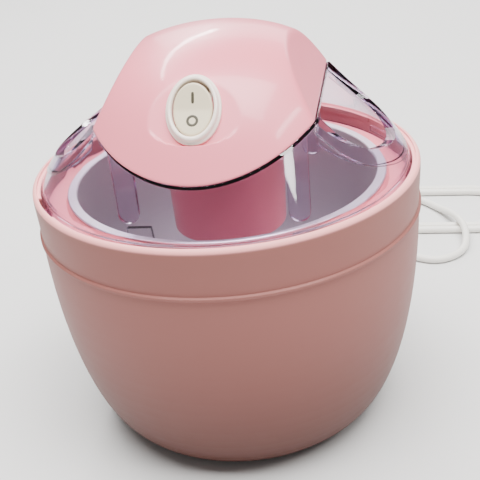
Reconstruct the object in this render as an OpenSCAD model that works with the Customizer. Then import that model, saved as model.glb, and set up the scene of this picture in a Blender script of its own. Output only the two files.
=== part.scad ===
// Small electric ice cream maker: casing, freezer bowl, clear lid, motor unit, paddle and mains lead.
// Millimetres, +Z up, switch towards -Y, origin on the surface below the bowl's axis.

/* [Casing] */
// Outer radius of the casing's rim
rim_r = 95; // [94:0.5:97]
// Height of the rim's top above the surface
rim_z = 136.5; // [135:0.5:139]
// Radius of the casing where it meets the feet
base_r = 64; // [60:1:68]
// Height of the raised bead around the casing
bead_z = 112; // [108:1:114]
// How far the bead stands out of the wall
bead_out = 0.9; // [0.4:0.1:1.2]
// Thickness of the casing's wall
casing_wall = 2.4; // [2:0.1:2.6]
// Height of the rubber feet under the casing
foot_h = 2; // [1:0.5:3]
// Radius of one rubber foot
foot_r = 6; // [4:0.5:8]

/* [Freezer bowl] */
// Inner radius of the aluminium liner at its mouth
liner_r = 74; // [70:1:75]
// Inner radius of the liner just above its rounded bottom
liner_low_r = 66; // [62:1:68]
// Height of the liner's inner floor
liner_floor_z = 30; // [28:1:34]
// Thickness of the liner
liner_wall = 1.2; // [1:0.1:1.5]

/* [Lid] */
// Outer radius of the lid at the casing's rim
lid_r = 90.2; // [89.8:0.1:90.4]
// Thickness of the lid's clear wall
lid_wall = 2.2; // [1.8:0.1:2.6]
// Half the width of a pour opening
pour_half = 40; // [36:1:42]
// Height of the lowest point of a pour opening
pour_z = 147; // [145:1:150]
// Width of the thick border around a pour opening
lip_w = 6.5; // [4:0.5:8]

/* [Motor unit] */
// Height of the motor unit's top
cover_top_z = 202.4; // [200:0.2:205]
// Thickness of the motor unit's shells
cover_wall = 2.2; // [2:0.1:2.6]
// Half the width of the motor unit at its lower corners
cover_half = 49.5; // [48:0.5:51]
// Lean of the motor unit's side faces, inwards per millimetre of height
side_lean = 0.55; // [0.5:0.01:0.6]
// Radius of the pod around the motor, at its top
pod_r = 30; // [29.5:0.5:30.5]
// Height of the pod's flat bottom
pod_z = 104; // [103:0.5:104.5]

/* [Switch] */
// Width of the oval bezel
bezel_w = 24; // [22:0.5:26]
// Length of the oval bezel up the slope
bezel_l = 32; // [30:0.5:34]
// Full rocking angle of the switch
rock_angle = 14; // [10:1:16]

/* [Gears] */
// Gear module
gear_m = 0.5; // [0.5:0.01:0.51]

/* [Paddle] */
// Radius that the paddle sweeps
paddle_r = 56; // [50:1:58]
// Thickness of the paddle's blades
blade_t = 3; // [2.4:0.2:4]

/* [Cord] */
// Diameter of the mains cord
cord_d = 5; // [4.6:0.1:5.2]

/* [Hidden] */
$fn = 96;
eps = 0.01;
far = 300;

pink = "lightpink";
clear = [0.85, 0.82, 0.88, 0.45];
ivory = "ivory";
steel = "silver";

// Casing
bead_h = 2.2;
casing_r = rim_r - 0.5;
casing_floor = 3;
casing_floor_z = foot_h + casing_floor;
foot_sink = 1.5;
foot_circle_r = 50;
rim_step_r = rim_r - 2.2;
rim_step_z = rim_z - 1.1;
rim_in_r = rim_r - 3.9;
rim_flange_h = 4;
lug_groove_r = rim_r - 2.4;
notch_r = lug_groove_r - 0.1;
ledge_z = 124;
ledge_r = 86.5;
ledge_t = 2.4;
notch_count = 4;
notch_first = -147;
notch_width = 15;
notch_angles = [for (i = [0 : notch_count - 1]) notch_first + i * 360 / notch_count];

// Freezer bowl
bowl_flange_r = rim_in_r - 0.6;
bowl_flange_t = 2.2;
bowl_flange_z = ledge_z;
bowl_flange_top = bowl_flange_z + bowl_flange_t;
bowl_wall = 2.2;
seat_r = liner_r + 4.6;
seat_z = bowl_flange_top + 2;
shell_top_r = 83;
shell_low_r = 74;
shell_floor_z = 12;
shell_round = 14;
liner_round = 16;
seal_t = 0.8;
liner_lip_t = 1.4;
fill_r = 5;

// Lid
lid_foot_z = 136.6;
lid_slope = 0.754;
lid_top_z = 172;
skirt_z = bowl_flange_top + 0.4;
skirt_t = 2;
lug_out = 1.9;
lug_h = 3;
lug_z = skirt_z + 1;
lug_width = 11;
deck_gap = 0.3;
deck_t = 2.2;
deck_half = cover_half + 0.5;
deck_hole_r = pod_r + 1;
lip_out = 0.8;
lip_in = 3.6;
lip_corner = 10;
pour_curve = 0.0055;
tab_x = 40;
tab_y = 40;
tab_w = 10;
tab_t = 3;
tab_low_z = 122;

// Motor unit
arc_r = 90;
arc_low_z = 156.3;
arc_c = arc_low_z + arc_r;
cover_low_r = 76.5;
cover_low_z = 155.5;
cover_ctrl_a = [59.5, 184];
cover_ctrl_b = [46, cover_top_z];
corner_z = 171;
pod_draft = 1.6;
pod_wall = 2;
pod_floor = 2.4;
pod_floor_z = pod_z + pod_floor;
pod_join_z = 158;
pod_low_r = pod_r - pod_draft;
cover_screw_at = [for (x = [-33, 33], y = [-26, 26]) [x, y]];
boss_r = 3.4;
screw_r = 1.4;
screw_hole_r = 1.6;
pilot_r = 1.42;
screw_head_r = 2.9;
screw_head_h = 2.2;
screw_seat_z = 166.2;
screw_top_z = 177;
fit_gap = 0.15;

// Switch, in its own frame: local Z leaves the dish, local Y runs up the slope
dish_y = -54.8;
dish_z = 181.6;
dish_tip = 48;
dish_r = 24;
bezel_h = 3.6;
bezel_step = 1.2;
bezel_chamfer = 1.2;
barrel_w = 15;
barrel_l = 23;
barrel_h = 15;
barrel_wall = 1.2;
rocker_w = 17;
rocker_l = 23;
rocker_gap = 0.5;
rocker_end_gap = 0.9;
rocker_pivot_z = -2;
rocker_pin_r = 1.1;
rocker_pin_gap = 0.05;
rocker_plate_z = 1.6;
rocker_top = 3.5;
rocker_crown = 2.3;
rocker_keel_z = -5;
rocker_keel_l = 18;
terminal_w = 4.8;
terminal_t = 0.8;
terminal_l = 8;
terminal_y = [-6, 6];

// Motor and gears
motor_r = 25;
cup_wall = 1;
cup_floor = 1.4;
cup_z = pod_floor_z;
cup_floor_z = cup_z + cup_floor;
cup_top_z = cup_z + 12.5;
plate_t = 1;
can_z = cup_top_z + plate_t;
can_h = 14;
can_wall = 0.7;
layer_c_z = cup_floor_z + 0.8;
layer_b_z = layer_c_z + 3.2;
layer_a_z = layer_b_z + 3;
face_w = 2.4;
small_teeth = 12;
mid_teeth = 16;
big_teeth = 36;
output_teeth = 32;
gear_centre = gear_m * (small_teeth + big_teeth) / 2;
angle_a = 30;
angle_b = -30;
gear_a_at = gear_centre * [cos(angle_a), sin(angle_a)];
gear_b_at = gear_centre * [cos(angle_b), sin(angle_b)];
angle_ab = -90;
pin_r = 0.8;
pin_bore_r = 0.86;
rotor_shaft_r = 1;
rotor_bore_r = 1.06;
rotor_r = 11;
rotor_z = can_z + 1.3;
rotor_h = 10.4;
pole_r = 11.6;
pole_t = 0.6;
pole_slots = 8;
bobbin_r = 23.8;
bobbin_in_r = 12.5;
bobbin_core_r = 14;
bobbin_z = can_z + 0.4;
bobbin_h = 12.2;
bobbin_flange = 1.2;
coil_z = bobbin_z + bobbin_flange;
coil_top_z = bobbin_z + bobbin_h - bobbin_flange;
bush_r = 5;
bush_bore_r = 3.06;
bush_flange_r = 7;
shaft_r = 3;
shaft_low_z = 88;
shaft_flat = 1;
motor_screw_at = [[-17, 11], [-17, -11]];
motor_screw_r = 1.1;
motor_screw_head_r = 2.2;
motor_screw_head_h = 1.4;
motor_boss_r = 2.8;
motor_screw_h = 8;

// Paddle
paddle_low_z = 32;
paddle_top_z = 99;
hub_r = 7;
socket_gap = 0.1;
socket_top_z = 101;
blade_in_r = 43;
paddle_bar_h = 6;
paddle_mid_z = 64;
paddle_round = 12;

// Cord: points from the gland to the hank, and from the hank to the plug
gland_y = 98;
gland_z = 172;
gland_in_y = 51;
gland_r = 4;
gland_collar_r = 6;
gland_collar_t = 3;
gland_wall_y = 72;
gland_end_r = 3.1;
lead_route = [
    [0, 98, 172], [0, 112, 170], [1, 128, 158], [2, 140, 136], [2, 147, 100], [1, 152, 62],
    [-2, 160, 30], [-5, 172, 12], [-7, 188, 4.4], [-5, 206, 2.9], [4, 226, 2.7], [22, 241, 2.7],
    [45, 248, 2.7], [70, 248, 2.7]
];
tail_route = [
    [70, 236, 2.7], [88, 235, 2.7], [104, 227, 2.8], [117, 211, 3.6], [125, 195, 6.8], [130, 180, 8.2],
    [132, 166, 6.5], [130, 151, 3.6], [122, 140, 2.8], [110, 135, 2.7], [97, 139, 2.8], [84, 149, 4.2],
    [70, 156, 7]
];
hank_a = [70, 212];
hank_b = [140, 212];
hank_out_r = 36 + cord_d / 2;
hank_in_r = 24 - cord_d / 2;
hank_z = 0.1;
hank_h = cord_d;
plug_at = [70, 156, 7];
plug_turn = 180;
plug_half = 13;
plug_neck = 5;
plug_h = 13.6;
plug_l = 26;
plug_relief_l = 22;
plug_pin_r = 2;
plug_pin_l = 19;
plug_pin_gap = 19;
wire_r = 0.9;
live_route = [
    [0, 51, 172], [-2, 40, 172], [-12, 25, 176], [-14, 0, 180], [-8, -22, 178], [-4, -32, 172],
    [0, -33, 166.5]
];
neutral_route = [
    [3, 51, 172], [8, 44, 171], [14, 34, 168.5], [18, 23, 165.5], [18, 13, 158.5], [19, 6, 148],
    [18, 1, 134.6]
];
switched_route = [
    [0, -42, 162.8], [0, -38, 163], [-5, -31, 163], [-12, -22, 160], [-17, -12, 151], [-18, -4, 142],
    [-18, 0, 134.6]
];

// Point of a cubic curve with end points p, s and handles q, r
function cubic(p, q, r, s, t) =
    p * pow(1 - t, 3) + 3 * q * pow(1 - t, 2) * t + 3 * r * (1 - t) * pow(t, 2) + s * pow(t, 3);
function unit(v) = v / norm(v);

// Half outline of the motor unit's dome, moved inwards by d
function cover_point(t) =
    cubic([cover_low_r, cover_low_z], cover_ctrl_a, cover_ctrl_b, [0, cover_top_z], t);
function cover_normal(t) =
    let (d = unit(cover_point(min(1, t + 0.01)) - cover_point(max(0, t - 0.01)))) [d[1], -d[0]];
function cover_curve(d, steps = 22) =
    [for (i = [0 : steps]) let (p = cover_point(i / steps) - d * cover_normal(i / steps))
        [max(0, p[0]), p[1]]];

// Outer half outline of the casing from its foot to the bead: a quarter ellipse
function casing_curve(d, steps = 20) =
    [for (i = [0 : steps]) let (a = 90 * i / steps)
        [base_r + (casing_r - base_r) * sin(a) - d, bead_z - (bead_z - foot_h) * cos(a)]];

// Radius of the lid's cone at height z
function cone_r(z) = lid_r - lid_slope * (z - lid_foot_z);

// Quarter circle of radius r around c, from angle a to angle b
function arc(c, r, a, b, steps = 8) =
    [for (i = [0 : steps]) let (t = a + (b - a) * i / steps) c + r * [cos(t), sin(t)]];

// Oval of half axes a and b
function oval(a, b, steps = 48) =
    [for (i = [0 : steps - 1]) [a * cos(360 * i / steps), b * sin(360 * i / steps)]];

// U-shaped outline of half width h whose bottom, at height z, is a shallow arc with rounded corners
function pour_z_at(y, h, z) =
    z + pour_curve * y * y
    + lip_corner * (1 - sqrt(max(0, 1 - pow(max(0, abs(y) - (h - lip_corner)) / lip_corner, 2))));
function pour_outline(h, z) =
    concat(
        [[h, far]],
        [for (i = [-16 : 16]) let (y = -h * sin(90 * i / 16)) [y, pour_z_at(y, h, z)]],
        [[-h, far]]
    );

// Outline of a gear with n teeth: root, pitch and tip points of each flank
function tooth(n, k) =
    let (p = 360 / n, rp = gear_m * n / 2, rf = rp - 1.2 * gear_m, ra = rp + 0.85 * gear_m)
    [for (s = [[rf, -0.31], [rp, -0.21], [ra, -0.09], [ra, 0.09], [rp, 0.21], [rf, 0.31]])
        s[0] * [cos(p * (k + s[1])), sin(p * (k + s[1]))]];
function gear_outline(n) = [for (k = [0 : n - 1]) each tooth(n, k)];

// Smooth path through points p, with n steps between neighbours
function spline_point(a, b, c, d, t) =
    0.5 * (2 * b + (c - a) * t + (2 * a - 5 * b + 4 * c - d) * t * t
        + (3 * b - a - 3 * c + d) * t * t * t);
function smooth_path(p, n) =
    let (m = len(p) - 1)
    [for (i = [0 : m - 1], j = [0 : n - 1])
        spline_point(p[max(0, i - 1)], p[i], p[i + 1], p[min(m, i + 2)], j / n), p[m]];
function tangents(p) =
    [for (i = [0 : len(p) - 1]) unit(p[min(len(p) - 1, i + 1)] - p[max(0, i - 1)])];
function square_to(v, t) = unit(v - (v * t) * t);
function side_vectors(t, first) =
    [for (i = 0, v = square_to(first, t[0]); i < len(t);
        i = i + 1, v = i < len(t) ? square_to(v, t[i]) : v) v];

// Round tube of radius r along the path p
module tube(p, r, sides = 10, first = [1, 0, 0]) {
    t = tangents(p);
    u = side_vectors(t, first);
    n = len(p);
    points = [for (i = [0 : n - 1], k = [0 : sides - 1])
        p[i] + r * (cos(360 * k / sides) * u[i] + sin(360 * k / sides) * cross(t[i], u[i]))];
    walls = [for (i = [0 : n - 2], k = [0 : sides - 1])
        [i * sides + k, (i + 1) * sides + k, (i + 1) * sides + (k + 1) % sides, i * sides + (k + 1) % sides]];
    start = [for (k = [0 : sides - 1]) k];
    end = [for (k = [sides - 1 : -1 : 0]) (n - 1) * sides + k];
    polyhedron(points, concat(walls, [start, end]));
}

// Ring sector between two radii and two heights, centred on angle a
module ring_sector(r0, r1, z0, z1, a, width) {
    rotate([0, 0, a - width / 2])
        rotate_extrude(angle = width)
            polygon([[r0, z0], [r1, z0], [r1, z1], [r0, z1]]);
}

// Plain ring
module ring(r0, r1, z0, z1) {
    difference() {
        translate([0, 0, z0]) cylinder(r = r1, h = z1 - z0);
        translate([0, 0, z0 - 1]) cylinder(r = r0, h = z1 - z0 + 2);
    }
}

module at(points, z) {
    for (p = points) translate([p[0], p[1], z]) children();
}

// Outside the cylinder that shapes the motor unit's underside, r being its radius
module arc_cylinder(r) {
    translate([0, -far / 2, arc_c]) rotate([-90, 0, 0]) cylinder(r = r, h = far, $fn = 180);
}

module in_switch_frame() {
    translate([0, dish_y, dish_z]) rotate([dish_tip, 0, 0]) children();
}

module outer_casing() {
    color(pink) difference() {
        rotate_extrude() polygon(concat(
            [[0, foot_h]],
            casing_curve(0),
            [[casing_r + bead_out, bead_z + 0.6], [casing_r + bead_out, bead_z + bead_h - 0.6],
                [casing_r - 0.2, bead_z + bead_h], [rim_r, rim_z - 5.5]],
            arc([rim_r - 2, rim_z - 2], 2, 0, 90),
            [[rim_step_r, rim_z], [rim_step_r, rim_step_z], [rim_in_r + 0.4, rim_step_z],
                [rim_in_r, rim_step_z - 0.4], [rim_in_r, rim_z - 1.1 - rim_flange_h],
                [lug_groove_r, rim_z - 1.1 - rim_flange_h], [lug_groove_r, ledge_z], [ledge_r, ledge_z],
                [ledge_r, ledge_z - ledge_t], [casing_r - casing_wall, ledge_z - ledge_t - 5]],
            [for (i = [20 : -1 : 4]) casing_curve(casing_wall)[i]],
            [[base_r + (casing_r - base_r) * sin(13.5) - casing_wall, casing_floor_z], [0, casing_floor_z]]
        ));
        for (a = notch_angles)
            ring_sector(rim_in_r - 2, notch_r, ledge_z + 2, rim_z + 1, a, notch_width);
        for (i = [0 : 3]) rotate([0, 0, 45 + 90 * i])
            translate([foot_circle_r, 0, foot_h - 1]) cylinder(r = foot_r + 0.1, h = 1 + foot_sink);
    }
}

module rubber_feet() {
    color("dimgray") for (i = [0 : 3]) rotate([0, 0, 45 + 90 * i])
        translate([foot_circle_r, 0, 0]) {
            cylinder(r1 = foot_r - 0.6, r2 = foot_r, h = 0.6);
            translate([0, 0, 0.6]) cylinder(r = foot_r, h = foot_h + foot_sink - 0.6);
        }
}

// Half outline of a cup: outer wall, rounded bottom and floor, from the axis outwards
function cup_curve(top_r, low_r, floor_z, round, top_z) =
    concat([[0, floor_z]], arc([low_r - round, floor_z + round], round, -90, 0), [[top_r, top_z]]);

module bowl_shell() {
    color(pink) difference() {
        rotate_extrude() polygon(concat(
            cup_curve(shell_top_r, shell_low_r, shell_floor_z, shell_round, bowl_flange_z),
            [[bowl_flange_r, bowl_flange_z], [bowl_flange_r, bowl_flange_top],
                [seat_r + 1.2, bowl_flange_top], [seat_r, seat_z], [liner_r + liner_wall + 0.3, seat_z],
                [liner_r + liner_wall + 0.3, bowl_flange_z - 6]],
            [[shell_top_r - bowl_wall, bowl_flange_z - 10]],
            [for (i = [8 : -1 : 0]) arc([shell_low_r - shell_round, shell_floor_z + shell_round],
                shell_round - bowl_wall, -90, 0)[i]],
            [[0, shell_floor_z + bowl_wall]]
        ));
        translate([0, 0, shell_floor_z - 1]) cylinder(r = fill_r, h = bowl_wall + 2);
    }
}

module bowl_liner() {
    color(steel) rotate_extrude() polygon(concat(
        cup_curve(liner_r + liner_wall, liner_low_r + liner_wall, liner_floor_z - liner_wall,
            liner_round + liner_wall, seat_z + seal_t),
        [[seat_r - 0.4, seat_z + seal_t], [seat_r, seat_z + seal_t + 0.4],
            [seat_r, seat_z + seal_t + liner_lip_t - 0.4], [seat_r - 0.4, seat_z + seal_t + liner_lip_t],
            [liner_r + 0.5, seat_z + seal_t + liner_lip_t], [liner_r, seat_z + seal_t + liner_lip_t - 0.5]],
        [for (i = [8 : -1 : 0]) arc([liner_low_r - liner_round, liner_floor_z + liner_round],
            liner_round, -90, 0)[i]],
        [[0, liner_floor_z]]
    ));
}

// Fills the space between shell and liner, with a gap of air above it
module coolant_gel() {
    gap = 0.3;
    top_z = 108;
    out_r = shell_low_r - bowl_wall - gap;
    in_r = liner_low_r + liner_wall + gap;
    out_top_r = out_r + (shell_top_r - shell_low_r) * (top_z - shell_floor_z - shell_round)
        / (bowl_flange_z - shell_floor_z - shell_round);
    in_top_r = in_r + (liner_r - liner_low_r) * (top_z - liner_floor_z - liner_round)
        / (seat_z - liner_floor_z - liner_round);
    color("lightblue") rotate_extrude() polygon(concat(
        cup_curve(out_top_r - 0.6, out_r, shell_floor_z + bowl_wall + 2.2, shell_round - bowl_wall, top_z),
        [[in_top_r + 0.6, top_z]],
        [for (i = [8 : -1 : 0]) arc([liner_low_r - liner_round, liner_floor_z + liner_round],
            liner_round + liner_wall + gap, -90, 0)[i]],
        [[0, liner_floor_z - liner_wall - gap]]
    ));
}

module bowl_seal() {
    color("whitesmoke") ring(liner_r + liner_wall + 0.6, seat_r - 0.8, seat_z, seat_z + seal_t);
}

module fill_plug() {
    color("white") {
        translate([0, 0, shell_floor_z]) cylinder(r = fill_r, h = bowl_wall);
        translate([0, 0, shell_floor_z + bowl_wall]) cylinder(r = fill_r + 1.5, h = 1.2);
    }
}

// Solid cone that the lid is cut from, grown outwards by d
module lid_solid(d) {
    rotate_extrude() polygon([
        [0, lid_foot_z - 4], [cone_r(lid_foot_z - 4) + d, lid_foot_z - 4],
        [cone_r(lid_top_z) + d, lid_top_z], [0, lid_top_z]
    ]);
}

module pour_prism(side, h, z) {
    rotate([90, 0, 90]) translate([0, 0, side > 0 ? cover_half : -far - cover_half])
        linear_extrude(far) polygon(pour_outline(h, z));
}

module lid_shell() {
    difference() {
        rotate_extrude() polygon([
            [lid_r, skirt_z], [lid_r, lid_foot_z], [cone_r(lid_top_z), lid_top_z],
            [cone_r(lid_top_z) - lid_wall * 1.25, lid_top_z],
            [cone_r(lid_foot_z) - lid_wall * 1.25, lid_foot_z],
            [lid_r - skirt_t, lid_foot_z - 1.5], [lid_r - skirt_t, skirt_z]
        ]);
        arc_cylinder(arc_r + deck_gap);
        for (s = [-1, 1]) pour_prism(s, pour_half, pour_z);
    }
}

// Curved deck under the motor unit, with the hole for the pod
module lid_deck() {
    difference() {
        intersection() {
            lid_solid(0);
            arc_cylinder(arc_r + deck_gap + deck_t + 20);
            translate([-deck_half, -far / 2, 0]) cube([2 * deck_half, far, far]);
        }
        arc_cylinder(arc_r + deck_gap);
        difference() {
            translate([-far / 2, -far / 2, 0]) cube([far, far, far]);
            arc_cylinder(arc_r + deck_gap + deck_t);
        }
        cylinder(r = deck_hole_r, h = far);
    }
}

// Thick border around one pour opening
module lid_lip(side) {
    difference() {
        intersection() {
            lid_solid(lip_out);
            pour_prism(side, pour_half + lip_w, pour_z - lip_w - 1.5);
            translate([side > 0 ? deck_half - 2 : -far, -far / 2, lid_foot_z + 0.5])
                cube([far - deck_half + 2, far, far]);
        }
        lid_solid(-lip_in);
        pour_prism(side, pour_half, pour_z);
        arc_cylinder(arc_r + deck_gap);
    }
}

// Tab with a round end that hangs from the deck beside the pod
module lid_tab(x, y) {
    intersection() {
        translate([x, y + tab_t / 2, 0]) rotate([90, 0, 0]) union() {
            translate([0, tab_low_z + tab_w / 2, 0]) cylinder(r = tab_w / 2, h = tab_t);
            translate([-tab_w / 2, tab_low_z + tab_w / 2, 0]) cube([tab_w, 60, tab_t]);
        }
        difference() {
            translate([-far / 2, -far / 2, 0]) cube([far, far, far]);
            arc_cylinder(arc_r + deck_gap + deck_t / 2);
        }
    }
}

module clear_lid() {
    color(clear) {
        lid_shell();
        lid_deck();
        for (s = [-1, 1]) lid_lip(s);
        for (x = [-tab_x, tab_x], y = [-tab_y, tab_y]) lid_tab(x, y);
        for (a = notch_angles)
            ring_sector(lid_r - skirt_t / 2, lid_r + lug_out, lug_z, lug_z + lug_h, a, lug_width);
    }
}

// Space between the two leaning side faces, narrowed by d on each side
module side_wedge(d) {
    low_z = cover_low_z - 5;
    top_z = cover_top_z + 5;
    low_x = cover_half - side_lean * (low_z - corner_z) - d;
    top_x = cover_half - side_lean * (top_z - corner_z) - d;
    translate([0, far / 2, 0]) rotate([90, 0, 0])
        linear_extrude(far) polygon([[-low_x, low_z], [low_x, low_z], [top_x, top_z], [-top_x, top_z]]);
}

// The motor unit's outer form, moved inwards by d
module cover_form(d) {
    intersection() {
        rotate_extrude() polygon(concat([[0, cover_low_z - d]], [[cover_low_r - d * 0.8, cover_low_z - d]],
            [for (i = [1 : 21]) cover_curve(d)[i]], [[0, cover_top_z - d]]));
        side_wedge(d * 1.14);
    }
}

module cover_boss_at(r, z0, z1) {
    at(cover_screw_at, z0) cylinder(r = r, h = z1 - z0);
}

module motor_cover() {
    color(pink) difference() {
        union() {
            difference() {
                cover_form(0);
                difference() {
                    cover_form(cover_wall);
                    in_switch_frame() translate([-dish_r, -dish_r, -cover_wall]) cube(2 * dish_r);
                }
            }
            intersection() {
                cover_form(1);
                cover_boss_at(boss_r, screw_seat_z + 2.2, cover_top_z);
            }
        }
        difference() {
            translate([-far / 2, -far / 2, 0]) cube([far, far, arc_c]);
            arc_cylinder(arc_r);
        }
        in_switch_frame() translate([-dish_r, -dish_r, 0]) cube(2 * dish_r);
        in_switch_frame() translate([-barrel_w / 2 - 0.1, -barrel_l / 2 - 0.1, -barrel_h])
            cube([barrel_w + 0.2, barrel_l + 0.2, barrel_h + 1]);
        cover_boss_at(pilot_r, screw_seat_z, screw_top_z + 0.5);
        translate([0, gland_in_y, gland_z]) rotate([-90, 0, 0]) cylinder(r = gland_r + 0.05, h = 30);
    }
}

// Lower shell: curved plate that closes the cover, and the pod that carries the motor
module motor_pod() {
    color(pink) difference() {
        union() {
            difference() {
                intersection() {
                    cover_form(cover_wall + fit_gap);
                    arc_cylinder(arc_r);
                }
                arc_cylinder(arc_r - cover_wall);
            }
            intersection() {
                union() {
                    translate([0, 0, pod_z]) cylinder(r1 = pod_low_r, r2 = pod_r, h = pod_join_z - pod_z);
                    cover_boss_at(boss_r + 0.8, arc_low_z, screw_seat_z + 2);
                }
                union() {
                    translate([0, 0, pod_z - 1]) cylinder(r = pod_r + 1, h = far);
                    arc_cylinder(arc_r);
                }
            }
        }
        translate([0, 0, pod_floor_z]) cylinder(r1 = pod_low_r - pod_wall, r2 = pod_r - pod_wall, h = 60);
        cylinder(r = bush_r, h = far);
        cover_boss_at(screw_hole_r, arc_low_z - 2, screw_seat_z + 3);
        cover_boss_at(screw_head_r + 0.2, arc_low_z - 2, screw_seat_z);
        at(motor_screw_at, pod_z - 1) {
            cylinder(r = motor_screw_r + 0.1, h = pod_floor + 2);
            cylinder(r = motor_screw_head_r + 0.2, h = 1 + motor_screw_head_h);
        }
    }
}

// Pan-head screw standing on its head, with the seat of the head at z = 0
module screw(head_r, head_h, r, h) {
    translate([0, 0, -head_h]) difference() {
        cylinder(r = head_r, h = head_h);
        for (a = [0, 90]) rotate([0, 0, a])
            translate([-head_r * 0.6, -0.3, -1]) cube([head_r * 1.2, 0.6, 1 + head_h / 2]);
    }
    cylinder(r = r, h = h);
}

module cover_screws() {
    color(steel) at(cover_screw_at, screw_seat_z)
        screw(screw_head_r, screw_head_h, screw_r, screw_top_z - screw_seat_z);
}

module motor_screws() {
    color(steel) at(motor_screw_at, pod_z + motor_screw_head_h)
        screw(motor_screw_head_r, motor_screw_head_h, motor_screw_r, motor_screw_h);
}

module switch_body() {
    color(ivory) in_switch_frame() difference() {
        union() {
            linear_extrude(bezel_step) polygon(oval(bezel_w / 2, bezel_l / 2));
            translate([0, 0, bezel_step]) linear_extrude(bezel_h - bezel_step)
                polygon(oval(bezel_w / 2 - bezel_chamfer, bezel_l / 2 - bezel_chamfer));
            translate([-barrel_w / 2, -barrel_l / 2, -barrel_h]) cube([barrel_w, barrel_l, barrel_h + 0.5]);
        }
        translate([0, 0, -eps]) linear_extrude(bezel_h + 1)
            polygon(oval(rocker_w / 2 + rocker_gap, rocker_l / 2 + rocker_end_gap));
        translate([-barrel_w / 2 + barrel_wall, -barrel_l / 2 + barrel_wall, -barrel_h + barrel_wall])
            cube([barrel_w - 2 * barrel_wall, barrel_l - 2 * barrel_wall, barrel_h]);
        translate([-barrel_w, 0, rocker_pivot_z]) rotate([0, 90, 0])
            cylinder(r = rocker_pin_r + rocker_pin_gap, h = 2 * barrel_w);
        for (y = terminal_y) translate([-terminal_w / 2, y - terminal_t / 2, -barrel_h - 1])
            cube([terminal_w, terminal_t, barrel_wall + 2]);
    }
}

// Side outline of the rocker: two shallow slopes that meet in a valley at the pivot
module rocker_side() {
    polygon([
        [-rocker_l / 2, rocker_top], [0, rocker_crown], [rocker_l / 2, rocker_top],
        [rocker_l / 2, rocker_plate_z], [3, rocker_keel_z],
        [-3, rocker_keel_z], [-rocker_l / 2, rocker_plate_z]
    ]);
}

module switch_rocker() {
    keel_w = barrel_w - 2 * barrel_wall - 0.6;
    color("floralwhite") in_switch_frame() translate([0, 0, rocker_pivot_z]) rotate([rock_angle / 2, 0, 0])
        translate([0, 0, -rocker_pivot_z]) {
            intersection() {
                union() {
                    translate([0, 0, rocker_plate_z])
                        linear_extrude(5) polygon(oval(rocker_w / 2, rocker_l / 2));
                    translate([-keel_w / 2, -rocker_keel_l / 2, rocker_keel_z - 1])
                        cube([keel_w, rocker_keel_l, rocker_plate_z - rocker_keel_z + 1.5]);
                }
                translate([-rocker_w, 0, 0])
                    rotate([90, 0, 90]) linear_extrude(2 * rocker_w) rocker_side();
            }
            translate([-barrel_w / 2 + 0.2, 0, rocker_pivot_z]) rotate([0, 90, 0])
                cylinder(r = rocker_pin_r, h = barrel_w - 0.4);
        }
}

module switch_terminals() {
    color(steel) in_switch_frame() for (y = terminal_y)
        translate([-terminal_w / 2, y - terminal_t / 2, -barrel_h - terminal_l + 2])
            cube([terminal_w, terminal_t, terminal_l]);
}

module gearbox_cup() {
    color("white") difference() {
        union() {
            translate([0, 0, cup_z]) cylinder(r = motor_r, h = cup_floor);
            ring(motor_r - cup_wall, motor_r, cup_z, cup_top_z);
            at(motor_screw_at, cup_z) cylinder(r = motor_boss_r, h = cup_top_z - cup_z);
        }
        cylinder(r = bush_r, h = far);
        at(motor_screw_at, cup_z - 1) cylinder(r = motor_screw_r + 0.03, h = motor_screw_h + 1);
    }
}

module gear_pins() {
    color(steel) at([gear_a_at, gear_b_at], cup_floor_z)
        cylinder(r = pin_r, h = cup_top_z - cup_floor_z);
}

module gear_plate() {
    color(steel) ring(rotor_bore_r, motor_r, cup_top_z, can_z);
}

module motor_can() {
    color(steel) difference() {
        translate([0, 0, can_z]) cylinder(r = motor_r, h = can_h);
        translate([0, 0, can_z - 1]) cylinder(r = motor_r - can_wall, h = can_h - can_wall + 1);
        cylinder(r = rotor_bore_r, h = far);
    }
}

module coil_bobbin() {
    color("white") difference() {
        ring(bobbin_in_r, bobbin_r, bobbin_z, bobbin_z + bobbin_h);
        ring(bobbin_core_r, bobbin_r + 1, coil_z, coil_top_z);
    }
}

module coil_winding() {
    color("peru") ring(bobbin_core_r, bobbin_r - 1, coil_z, coil_top_z);
}

// Tube of claw poles around the rotor: slots run down from the top and up from the bottom in turn
module pole_cage() {
    slot_w = 1.6;
    color(steel) difference() {
        ring(pole_r, pole_r + pole_t, can_z, can_z + can_h - can_wall);
        for (i = [0 : pole_slots - 1]) rotate([0, 0, 360 * i / pole_slots])
            translate([0, -slot_w / 2, can_z + (i % 2 == 0 ? 1.2 : -1)])
                cube([pole_r + 2, slot_w, can_h - can_wall]);
    }
}

module rotor_magnet() {
    color("dimgray") ring(rotor_shaft_r, rotor_r, rotor_z, rotor_z + rotor_h);
}

module rotor_shaft() {
    color(steel) translate([0, 0, layer_a_z - 0.1])
        cylinder(r = rotor_shaft_r, h = can_z + can_h - layer_a_z);
}

module gear_wheel(n, z, h, turn) {
    translate([0, 0, z]) rotate([0, 0, turn]) linear_extrude(h) polygon(gear_outline(n));
}

module rotor_pinion() {
    color("gold") difference() {
        gear_wheel(small_teeth, layer_a_z, face_w, angle_a);
        cylinder(r = rotor_shaft_r, h = far);
    }
}

module first_gear() {
    color("lightyellow") translate([gear_a_at[0], gear_a_at[1], 0]) difference() {
        union() {
            gear_wheel(big_teeth, layer_a_z, face_w, angle_a + 180 + 180 / big_teeth);
            gear_wheel(small_teeth, layer_b_z, layer_a_z - layer_b_z + eps, angle_ab);
        }
        cylinder(r = pin_bore_r, h = far);
    }
}

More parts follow.
